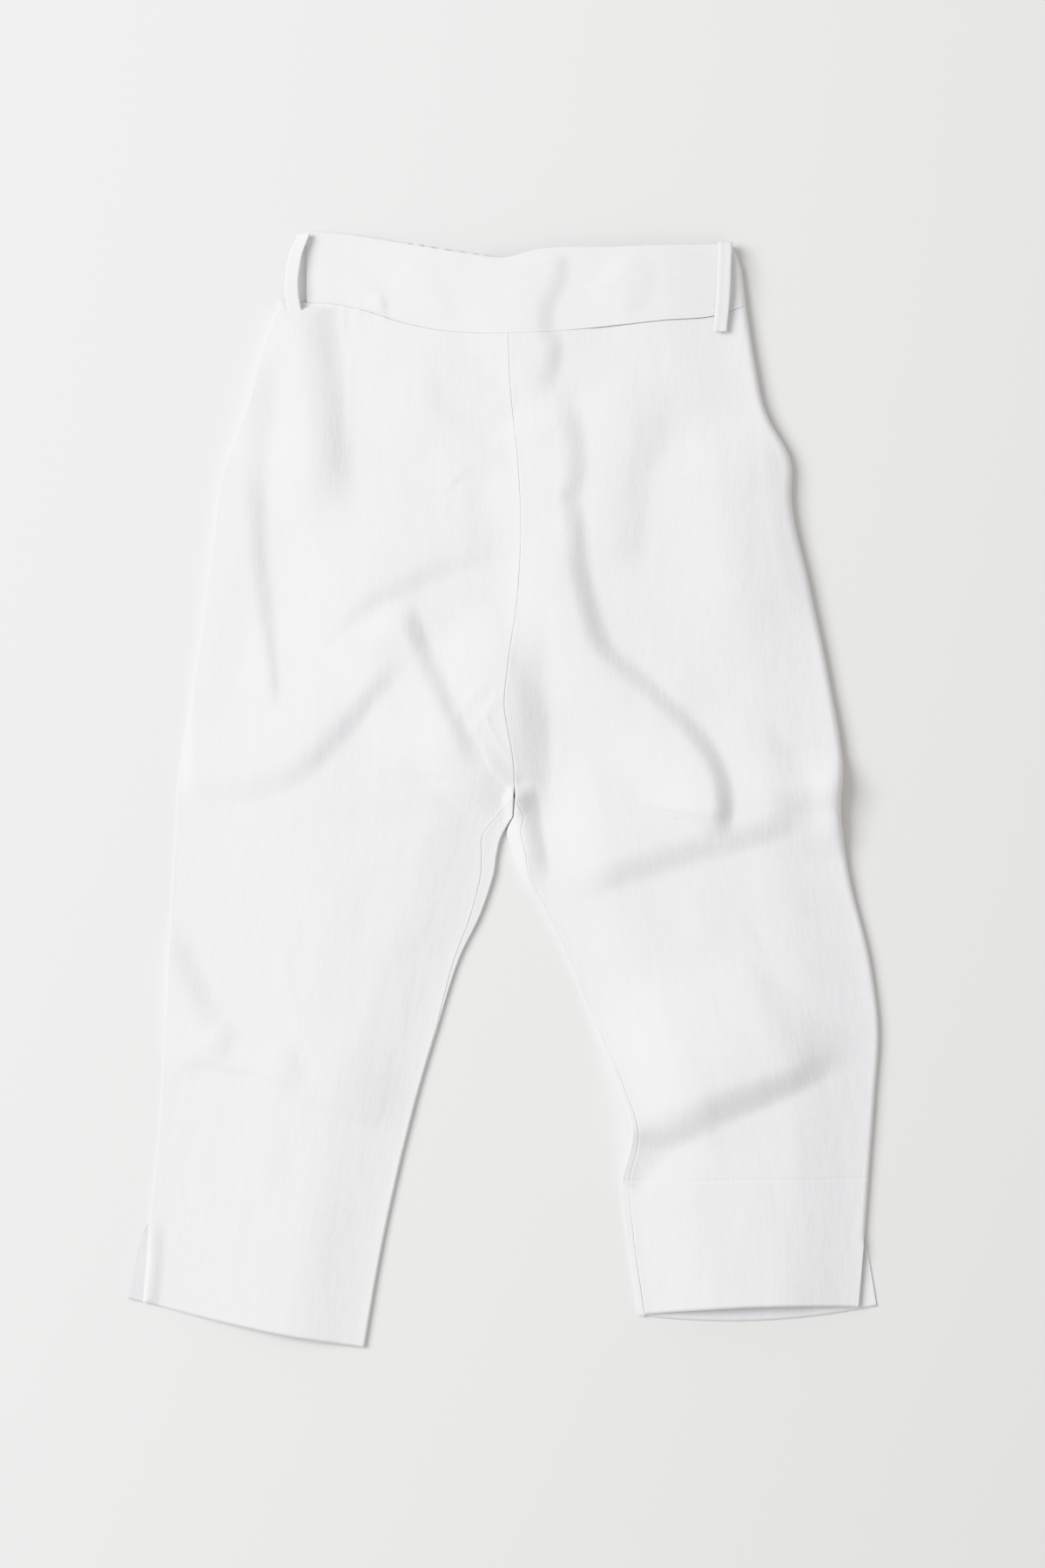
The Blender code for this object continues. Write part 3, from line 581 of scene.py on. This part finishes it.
def linen(name, tone, streak):
    """Woven linen of one tone. The streak is how strongly its press marks show."""
    material = bpy.data.materials.new(name)
    material.use_nodes = True
    nodes, links = material.node_tree.nodes, material.node_tree.links
    surface = nodes["Principled BSDF"]
    surface.inputs["Roughness"].default_value = 0.9
    surface.inputs["Specular IOR Level"].default_value = 0.25
    surface.inputs["Sheen Weight"].default_value = 0.12
    surface.inputs["Sheen Roughness"].default_value = 0.5
    cloth = nodes.new("ShaderNodeUVMap")
    cloth.uv_map = "Cloth"

    def stretched(scale_u, scale_v, detail, seed):
        mapping = nodes.new("ShaderNodeMapping")
        mapping.inputs["Scale"].default_value = (scale_u, scale_v, 1)
        mapping.inputs["Location"].default_value = (seed, 0, 0)
        noise = nodes.new("ShaderNodeTexNoise")
        noise.inputs["Scale"].default_value = 1.0
        noise.inputs["Detail"].default_value = detail
        links.new(cloth.outputs["UV"], mapping.inputs["Vector"])
        links.new(mapping.outputs["Vector"], noise.inputs["Vector"])
        return noise.outputs["Fac"]

    def bands(direction, pitch):
        wave = nodes.new("ShaderNodeTexWave")
        wave.bands_direction = direction
        wave.inputs["Scale"].default_value = 2 * math.pi / (WAVE_UNIT * pitch)
        wave.inputs["Distortion"].default_value = 0.8
        wave.inputs["Detail"].default_value = 1.0
        links.new(cloth.outputs["UV"], wave.inputs["Vector"])
        return wave.outputs["Fac"]

    def maths(operation, first, second, factor=None):
        node = nodes.new("ShaderNodeMath")
        node.operation = operation
        for socket, value in zip(node.inputs, (first, second, factor)):
            if value is None:
                continue
            if isinstance(value, float):
                socket.default_value = value
            else:
                links.new(value, socket)
        return node.outputs[0]

    warp_slub = stretched(620, 60, 3.0, 1.0)
    weft_slub = stretched(70, 560, 3.0, 5.0)
    press = stretched(85, 26, 3.0, 9.0)
    yarn = maths("ADD", bands("X", WARP_PITCH), bands("Y", WEFT_PITCH))
    height = maths("MULTIPLY_ADD", yarn, YARN_RELIEF, maths("MULTIPLY", warp_slub, WARP_RELIEF))
    height = maths("MULTIPLY_ADD", weft_slub, WEFT_RELIEF, height)
    height = maths("MULTIPLY_ADD", press, PRESS_RELIEF * streak, height)
    bump = nodes.new("ShaderNodeBump")
    bump.inputs["Distance"].default_value = 1.0
    bump.inputs["Strength"].default_value = 1.0
    links.new(height, bump.inputs["Height"])
    links.new(bump.outputs["Normal"], surface.inputs["Normal"])
    ramp = nodes.new("ShaderNodeValToRGB")
    ramp.color_ramp.elements[0].position = 0.3
    ramp.color_ramp.elements[0].color = (*[c * SLUB_SHADE for c in tone], 1)
    ramp.color_ramp.elements[1].position = 0.62
    ramp.color_ramp.elements[1].color = (*tone, 1)
    links.new(warp_slub, ramp.inputs["Fac"])
    links.new(ramp.outputs["Color"], surface.inputs["Base Color"])
    return material


LINEN_TONE = (0.835, 0.824, 0.83)  # white with a faint cool cast
leg_linen = linen("Linen_leg", LINEN_TONE, 1.0)
band_linen = linen("Linen_band", LINEN_TONE, 0.5)
print("linen materials:", leg_linen.name, band_linen.name)

# %% [markdown]
# ## Leg panels
# The four panels are cut from single linen. The hem of each is turned up deep inside and stitched,
# so the cloth is nearly twice as thick below the hem line. A second layer inside would never be
# seen, so the wall simply thickens there. The rows lie closer where the form turns quickly.

# %% Make the four panels
LEG_ROWS = 330
FRONT_COLUMNS = (10, 72, 32)  # on the outer rolled edge, the top and the strip beside the inseam
BACK_COLUMNS = (8, 30, 22)  # on the outer rolled edge, the floor and the wrap over the inner edge
OUTER_BAND = 5.5  # widths of the two closer bands of columns on the front
INNER_BAND = 34.0


def row_places(leg):
    """Distances down the leg for the rows, closer at the waist, the crotch and the hem line."""
    hem_line, length = leg["hem_line"], leg["length"]
    zones = [  # from, to, rows as a count or as a share of them all
        (0, 5, 6), (5, 340, 0.34), (340, 440, 0.26), (440, hem_line - 5, 0.26),
        (hem_line - 5, hem_line + 5, 14), (hem_line + 5, length, 0.12),
    ]
    places = [np.linspace(a, b, n if n > 1 else int(n * LEG_ROWS))[:-1] for a, b, n in zones]
    places = np.append(np.concatenate(places), length)
    places[0] = GAP / 2
    return np.insert(places, np.searchsorted(places, CROTCH), CROTCH)


def front_marks(length, path_s):
    return list(np.interp([OUTER_BAND, path_s[-1] - INNER_BAND], path_s, length))


def panel(leg, layer):
    """One leg panel as a closed shell, tied to its solid."""
    outside, inside, cloth_u, cloth_v = [], [], [], []
    for down in row_places(leg):
        s, z, width, ends = leg_sections(leg, down)[layer == "back"]
        if layer == "front":
            s, z, ns, nz = resample(s, z, front_marks, FRONT_COLUMNS, -1.0, ends)
        else:
            roll_out, roll_in = (float(steady(leg["profile"], c, down)) for c in (1, 2))
            turn = int(np.argmax(s > width - roll_in - 1e-6))

            def back_marks(length, path_s):
                half = len(path_s) // 2
                return [np.interp(roll_out, path_s[:half], length[:half]), length[turn]]

            s, z, ns, nz = resample(s, z, back_marks, BACK_COLUMNS, 1.0, ends)
        thick = float(wall(leg, down))
        for store, s_here, z_here in ((outside, s, z), (inside, s + ns * thick, z + nz * thick)):
            x, y = plan_point(leg, down, layer, s_here / width)
            store.append(np.stack([x, y, z_here], axis=-1))
        cloth_u.append(grain(leg, plan_point(leg, down, layer, s / width)[0], down))
        cloth_v.append(np.full(len(s), down))
    thing = shell(f"{layer.capitalize()}_{leg['name']}", np.array(outside), np.array(inside),
                  np.array(cloth_u), np.array(cloth_v), leg_linen)
    put_on(thing, f"{layer}_{leg['name']}")
    return thing


for leg in (RIGHT_LEG, LEFT_LEG):
    for layer in ("front", "back"):
        panel(leg, layer)

# %% [markdown]
# ## Waistband
# The front band is flat, two layers with a stiffener. The back band holds elastic, which draws it
# up into small even gathers. They peep over the front's top edge. Both are built like the panels,
# row by row up the band, because the folds of the legs run on into it without a step. The gathers
# follow a rule, a wave whose pitch drifts a little, so they need no table.

# %% Form of the bands
BAND = 1.0  # thickness of the doubled cloth
BAND_DEPTH = 57.0
BAND_ROUND = 1.3  # plan width of its rolled ends, as a share of half its height
BAND_HOLLOW = 0.8  # least height left open inside it
BAND_PRESS = 0.8  # the top edge is pressed down this far
PRESS_WIDTH = 1.5
BAND_RUMPLE = 0.8  # the stiffener leaves this share of the cloth's unevenness
PEEP_HIDDEN, PEEP = 0.8, 2.6  # the back band ends this far below the front's edge, and rises so far
GATHER_PITCH = 10.5
GATHER_HEIGHT = 2.4
GATHER_WANDER = (0.7, 0.23)  # how much and how slowly the pitch of the gathers drifts
GATHER_START, GATHER_FADE = 8.0, 25.0  # they begin this far from an end, and grow over this length
BAND_ENDS = (np.array([1.0, 0.0]), np.array([-1.0, 0.0]))


def band_plan(depth, share, layer):
    """Floor points at a share of a band's width and depth, and the width there."""
    left, right = curve(BAND_LEFT_EDGE, 1, depth), curve(BAND_RIGHT_EDGE, 1, depth)
    x = left + (right - left) * share
    if layer == "front":
        low, high = curve(WAIST_SEAM, 1, x) + GAP, curve(BAND_TOP, 1, x)
    else:
        peep = smooth_step((x + 92) / 22) * smooth_step((-4 - x) / 8)
        low = np.interp(x, *np.transpose(BACK_WAIST)) + 2 * GAP
        high = curve(BAND_TOP, 1, x) - PEEP_HIDDEN + PEEP * peep
    return x, low + (high - low) * depth, float(right - left)


def band_top(depth, s, width, x, y):
    """Height of the front band, which goes on from the two legs without a step."""
    right, left = RIGHT_PROFILE[0], LEFT_PROFILE[0]
    roll = right[1] + (left[1] - right[1]) * s / width
    swell = right[3] + (left[3] - right[3]) * s / width
    inside = rise(s, RIGHT_LEG["edge_rise"]) * rise(width - s)
    folds = all_folds(x, y) * (0.5 + 0.5 * inside) * (1 - 0.25 * depth)
    height = 2 * roll + swell * inside + folds + rumple(RIGHT_LEG, x, y) * inside * BAND_RUMPLE
    height = np.maximum(height, 2 * BAND + BAND_HOLLOW)
    pressed = BAND_PRESS * smooth_step(1 - (1 - depth) * BAND_DEPTH / PRESS_WIDTH)
    height = height - seam_dip(depth * BAND_DEPTH, WAIST_GROOVE) - pressed
    ease = np.sqrt(1 - (1 - np.clip(np.minimum(s, width - s) / (BAND_ROUND * roll), 0, 1)) ** 2)
    return roll + (height - roll) * ease


def gathers(s, width, rolls):
    """Height of the back band: rolled ends, and small waves of cloth on the elastic."""
    z = np.zeros(s.shape)
    for roll, inwards in zip(rolls, (s, width - s)):
        edge = np.clip(inwards / roll, 0, 1)
        z = z + roll * (1 - np.sqrt(1 - (1 - edge) ** 2))
    swing = 2 * math.pi * s / GATHER_PITCH
    wave = 0.5 - 0.5 * np.cos(swing + GATHER_WANDER[0] * np.sin(swing * GATHER_WANDER[1]))
    fade = smooth_step((np.minimum(s, width - s) - GATHER_START) / GATHER_FADE)
    return z + GATHER_HEIGHT * fade * np.maximum(wave - 0.15, 0.0)


print("gathers in the back band:", round(band_plan(0.5, 0.5, "back")[2] / GATHER_PITCH))


# %% Make both bands
BAND_COLUMNS = (10, 150, 10)
GATHER_COLUMNS = (8, 330, 8)
END_BANDS = (6, 7.0)  # widths of the closer bands of columns at the two ends


def band_marks(length, path_s):
    return [np.interp(END_BANDS[0], path_s, length), length[-1] - END_BANDS[1]]


def band(layer):
    """One waistband as a closed shell, tied to its solid."""
    outside, inside, cloth_u, cloth_v = [], [], [], []
    rolls = [RIGHT_PROFILE[0][1], LEFT_PROFILE[0][1]]

    def gather_marks(length, path_s):
        return [rolls[0] * math.pi / 2, length[-1] - rolls[1] * math.pi / 2]

    quarter = np.linspace(0, math.pi / 2, 16)
    rows = np.concatenate([[0, 0.008, 0.02, 0.035], np.linspace(0.06, 0.95, 22), [0.975, 0.99, 1.0]])
    for depth in rows:
        _, _, width = band_plan(depth, 0.5, layer)
        spread = BAND_ROUND if layer == "front" else 1.0
        first, last = (spread * roll * (1 - np.cos(quarter)) for roll in rolls)
        s = np.concatenate([first[:-1], np.linspace(first[-1], width - last[-1], 500),
                            (width - last[::-1])[1:]])
        if layer == "front":
            x, y, _ = band_plan(depth, s / width, layer)
            z = band_top(depth, s, width, x, y)
            z[[0, -1]] += GAP / 2
            s, z, ns, nz = resample(s, z, band_marks, BAND_COLUMNS, -1.0, BAND_ENDS)
        else:
            z = gathers(s, width, rolls)
            z[[0, -1]] -= GAP / 2
            s, z, ns, nz = resample(s, z, gather_marks, GATHER_COLUMNS, 1.0, BAND_ENDS)
        for store, s_here, z_here in ((outside, s, z), (inside, s + ns * BAND, z + nz * BAND)):
            x, y, _ = band_plan(depth, s_here / width, layer)
            store.append(np.stack([x, y, z_here], axis=-1))
        cloth_u.append(np.full(len(s), depth * BAND_DEPTH))
        cloth_v.append(s)
    thing = shell(f"Waistband_{layer}", np.array(outside), np.array(inside),
                  np.array(cloth_u), np.array(cloth_v), band_linen)
    put_on(thing, f"waistband_{layer}")
    return thing


bands = {layer: band(layer) for layer in ("front", "back")}

# %% [markdown]
# ## Belt loops
# A loop is a narrow strip folded to four layers and pressed, which leaves two soft ridges along it.
# Its two ends are sewn down and the middle stands off the band, which leaves the gap for a belt.
# A bevelled curve would give it a round section. Here a flat section is swept along a short path,
# with its own tilt at each point, because the right loop leans over the rolled edge.

# %% Make the loops
STRAP = 1.5  # thickness of the four layers
STRAP_HALF = 5.5  # half its width
STRAP_CROWN = 0.35  # how much the faces bulge between the edges
STRAP_RIDGE, RIDGE_PLACE, RIDGE_WIDTH = 0.12, 0.55, 0.2  # height, then shares of the half width
RIGHT_STRAP = [  # x, y, z, tilt in degrees
    (-157.5, 438, 5.6, 24), (-160.0, 432, 6.6, 20), (-164.0, 421, 8.0, 12), (-166.5, 406, 8.8, 8),
    (-167.0, 394, 9.4, 6), (-165.5, 382, 9.0, 4), (-162.5, 371, 8.0, 4),
]
LEFT_STRAP = [
    (175.0, 430.5, 11.6, -3), (175.0, 424.0, 12.2, -3), (174.5, 415.0, 13.8, -3),
    (174.0, 402.0, 15.0, -3), (173.5, 389.0, 15.0, -3), (172.5, 376.0, 14.2, -3),
    (171.5, 367.0, 13.4, -3), (171.0, 360.0, 13.0, -3),
]


def strap(name, node, rows):
    """A flat strip along a smooth path, crowned on both faces."""
    table = [(n, *row) for n, row in enumerate(rows)]
    at = np.linspace(0, len(rows) - 1, 60)
    path = np.stack([curve(table, c, at) for c in (1, 2, 3)], axis=1)
    tilt = np.radians(curve(table, 4, at))
    run = np.gradient(path, axis=0)
    across = np.stack([np.cos(tilt), 0 * tilt, np.sin(tilt)], axis=1)
    face = np.cross(across, run)
    face *= (np.sign(face[:, 2]) / np.linalg.norm(face, axis=1))[:, None]
    reach = np.linspace(-1, 1, 13)
    bulge = STRAP_CROWN * (1 - reach**8)
    crown = bulge + STRAP_RIDGE * np.exp(-((np.abs(reach) - RIDGE_PLACE) / RIDGE_WIDTH) ** 2)
    place = path[:, None] + across[:, None] * reach[:, None] * STRAP_HALF
    upper = place + face[:, None] * (STRAP / 2 - STRAP_CROWN + crown)[:, None]
    lower = place - face[:, None] * (STRAP / 2 - STRAP_CROWN + bulge)[:, None]
    travel = np.concatenate([[0], np.cumsum(np.linalg.norm(np.diff(path, axis=0), axis=1))])
    cloth_u = np.broadcast_to(reach * STRAP_HALF, upper.shape[:2])
    cloth_v = np.broadcast_to(travel[:, None], upper.shape[:2])
    thing = shell(name, upper, lower, cloth_u, cloth_v, band_linen)
    put_on(thing, node)
    print(f"{name}: {travel[-1]:.0f} mm long")
    return thing


loops = [strap("Belt_loop_right", "belt_loop_right", RIGHT_STRAP),
         strap("Belt_loop_left", "belt_loop_left", LEFT_STRAP)]

# %% [markdown]
# ## Stitches
# The machine sews an even row of short stitches just above the waist seam and along both hems. One
# Geometry Nodes tree makes them all. It turns a line of points into a curve, cuts it into stitch
# lengths and sets a small thread on every point. An array would do for a straight row, but these
# follow the cloth, and the tree lets every row share the same three sizes.

# %% Stitch tree
STITCH_SIZES = (("Pitch", 0.0026), ("Length", 0.0021), ("Thickness", 0.00038))  # metres


def stitch_tree(thread):
    """A tree that sews one row of stitches along any line of points."""
    tree = bpy.data.node_groups.new("Stitches", "GeometryNodeTree")
    face = tree.interface
    face.new_socket("Line", in_out="INPUT", socket_type="NodeSocketGeometry")
    for name, value in STITCH_SIZES:
        face.new_socket(name, in_out="INPUT", socket_type="NodeSocketFloat").default_value = value
    face.new_socket("Stitches", in_out="OUTPUT", socket_type="NodeSocketGeometry")
    nodes, links = tree.nodes, tree.links
    start, end = nodes.new("NodeGroupInput"), nodes.new("NodeGroupOutput")
    line = nodes.new("GeometryNodeMeshToCurve")
    cut = nodes.new("GeometryNodeResampleCurve")
    cut.mode = "LENGTH"
    bead = nodes.new("GeometryNodeMeshUVSphere")
    bead.inputs["Segments"].default_value = 8
    bead.inputs["Rings"].default_value = 5
    bead.inputs["Radius"].default_value = 0.5
    size = nodes.new("ShaderNodeCombineXYZ")
    turn = nodes.new("FunctionNodeAlignRotationToVector")
    turn.axis = "X"
    tangent = nodes.new("GeometryNodeInputTangent")
    uneven = nodes.new("FunctionNodeRandomValue")
    uneven.data_type = "FLOAT"
    uneven.inputs[2].default_value = 0.85
    uneven.inputs[3].default_value = 1.1
    uneven.inputs["Seed"].default_value = 4
    scale = nodes.new("ShaderNodeVectorMath")
    scale.operation = "SCALE"
    place = nodes.new("GeometryNodeInstanceOnPoints")
    real = nodes.new("GeometryNodeRealizeInstances")
    paint = nodes.new("GeometryNodeSetMaterial")
    paint.inputs["Material"].default_value = thread
    for output, target in (
        (start.outputs["Line"], line.inputs["Mesh"]),
        (line.outputs["Curve"], cut.inputs["Curve"]),
        (start.outputs["Pitch"], cut.inputs["Length"]),
        (cut.outputs["Curve"], place.inputs["Points"]),
        (bead.outputs["Mesh"], place.inputs["Instance"]),
        (tangent.outputs[0], turn.inputs["Vector"]),
        (turn.outputs["Rotation"], place.inputs["Rotation"]),
        (start.outputs["Length"], size.inputs["X"]),
        (start.outputs["Thickness"], size.inputs["Y"]),
        (start.outputs["Thickness"], size.inputs["Z"]),
        (size.outputs[0], scale.inputs[0]),
        (uneven.outputs[1], scale.inputs["Scale"]),
        (scale.outputs[0], place.inputs["Scale"]),
        (place.outputs[0], real.inputs[0]),
        (real.outputs[0], paint.inputs["Geometry"]),
        (paint.outputs[0], end.inputs["Stitches"]),
    ):
        links.new(output, target)
    print("stitch tree:", len(nodes), "nodes")
    return tree


# %% Sew a set of rows
THREAD_PROUD = 0.06  # the middle of the thread stands this far off the cloth
thread = linen("Sewing_thread", (0.83, 0.82, 0.825), 0.2)
STITCHES = stitch_tree(thread)


def sew(name, node, rows):
    """Stitches along rows of points in millimetres, as one plain mesh that goes with a CAD node."""
    mesh = bpy.data.meshes.new(name + "_line")
    points = np.concatenate(rows) * MM
    ends = np.cumsum([len(row) for row in rows])
    edges = [(n, n + 1) for n in range(len(points) - 1) if n + 1 not in ends]
    mesh.from_pydata(points.tolist(), edges, [])
    guide = bpy.data.objects.new(name + "_line", mesh)
    bpy.context.scene.collection.objects.link(guide)
    modifier = guide.modifiers.new("Stitches", "NODES")
    modifier.node_group = STITCHES
    sockets = {item.name: item.identifier for item in STITCHES.interface.items_tree}
    for size_name, value in STITCH_SIZES:
        modifier[sockets[size_name]] = value
    ready = guide.evaluated_get(bpy.context.evaluated_depsgraph_get())
    sewn_mesh = bpy.data.meshes.new_from_object(ready)
    guide.modifiers.remove(modifier)
    bpy.data.objects.remove(guide)
    sewn_mesh.name = name
    sewn = bpy.data.objects.new(name, sewn_mesh)
    bpy.context.scene.collection.objects.link(sewn)
    put_on(sewn, node)
    sewn_mesh.calc_loop_triangles()
    print(f"{name}: {len(sewn_mesh.loop_triangles)} triangles")
    return sewn


def hem_row(leg, layer):
    """Points of the hem's stitch line on a panel's outside. The back's outside is its underside."""
    s, z, width, _ = leg_sections(leg, leg["hem_line"])[layer == "back"]
    proud = THREAD_PROUD
    if layer == "back":
        s, z, proud = np.linspace(4, width - 8, 60), np.zeros(60), -THREAD_PROUD
    keep = (s > 4.0) & (s < s[-1] - 2.0)
    x, y = plan_point(leg, leg["hem_line"], layer, s[keep] / width)
    return np.stack([x, y, z[keep] + proud], axis=-1)


def band_row():
    """Points of the stitch line just above the waist seam."""
    depth = 2.6 / BAND_DEPTH
    width = band_plan(depth, 0.5, "front")[2]
    s = np.linspace(14, width - 16, 160)
    x, y, _ = band_plan(depth, s / width, "front")
    return np.stack([x, y, band_top(depth, s, width, x, y) + THREAD_PROUD], axis=-1)


sewing = {"waistband_front": sew("Stitches_waistband", "waistband_front", [band_row()])}
for leg in (RIGHT_LEG, LEFT_LEG):
    for layer in ("front", "back"):
        node = f"{layer}_{leg['name']}"
        sewing[node] = sew("Stitches_" + node, node, [hem_row(leg, layer)])

# %% [markdown]

# %% [markdown]
# ## Floor, light and camera
# The garment lies on a plain pale floor under one wide soft light from the left, with gentle light
# from all around. A low side light is what shows folds in white cloth, and its size keeps their
# shadows soft. The camera looks straight down from above, so the outline keeps its true shape.

# %% Floor
FLOOR_HALF = 3
FLOOR_TONE = (0.785, 0.773, 0.756, 1)
corners = [(FLOOR_HALF * a, FLOOR_HALF * b, 0) for a, b in ((-1, -1), (1, -1), (1, 1), (-1, 1))]
floor_mesh = bpy.data.meshes.new("Floor")
floor_mesh.from_pydata(corners, [], [(0, 1, 2, 3)])
floor = bpy.data.objects.new("Floor", floor_mesh)
bpy.context.scene.collection.objects.link(floor)
floor_paint = bpy.data.materials.new("Floor_paint")
floor_paint.use_nodes = True
floor_surface = floor_paint.node_tree.nodes["Principled BSDF"]
floor_surface.inputs["Base Color"].default_value = FLOOR_TONE
floor_surface.inputs["Roughness"].default_value = 0.9
floor_mesh.materials.append(floor_paint)
print("floor:", 2 * FLOOR_HALF, "m wide")

# %% Light
AMBIENT_TONE, AMBIENT = (1.0, 0.985, 0.97, 1), 0.57  # warm light from all around
WINDOW_TONE, WINDOW_POWER = (0.915, 0.958, 1.0), 262  # cooler light from the left
WINDOW_SIZE, WINDOW_PLACE = (3.0, 3.4), (-3.9, 1.2, 3.7)
world = bpy.data.worlds.new("Studio")
world.use_nodes = True
world.node_tree.nodes["Background"].inputs["Color"].default_value = AMBIENT_TONE
world.node_tree.nodes["Background"].inputs["Strength"].default_value = AMBIENT
bpy.context.scene.world = world
key_data = bpy.data.lights.new("Key", "AREA")
key_data.shape = "RECTANGLE"
key_data.size, key_data.size_y = WINDOW_SIZE
key_data.energy = WINDOW_POWER
key_data.color = WINDOW_TONE
key = bpy.data.objects.new("Key", key_data)
bpy.context.scene.collection.objects.link(key)
key.location = WINDOW_PLACE
key.rotation_euler = (-key.location).to_track_quat("-Z", "Y").to_euler()
print("key light at", WINDOW_PLACE)

# %% Camera
CAMERA_LENS, CAMERA_SENSOR = 75.4, 36
CAMERA_PLACE = (0.0152, 0.0035, 2.6)
camera_data = bpy.data.cameras.new("Camera")
camera_data.lens = CAMERA_LENS
camera_data.sensor_width = CAMERA_SENSOR
camera = bpy.data.objects.new("Camera", camera_data)
bpy.context.scene.collection.objects.link(camera)
camera.location = CAMERA_PLACE
bpy.context.scene.camera = camera
print("camera height:", CAMERA_PLACE[2], "m")

# %% [markdown]
# ## Exposure
# White cloth in bright light easily turns into one flat white. The response is a straight line up
# to the light greys and bends over above them, so the brightest cloth keeps its weave and folds.

# %% Response curve
BRIGHTEST = 0.915
STRAIGHT = (0.35, 0.7, 0.84)
view = bpy.context.scene.view_settings
view.view_transform = "Standard"
view.use_curve_mapping = True
response = view.curve_mapping.curves[3]  # the combined curve
response.points[-1].location = (1.0, BRIGHTEST)
for level in STRAIGHT:
    response.points.new(level, level)
view.curve_mapping.update()
print("brightest tone:", BRIGHTEST)
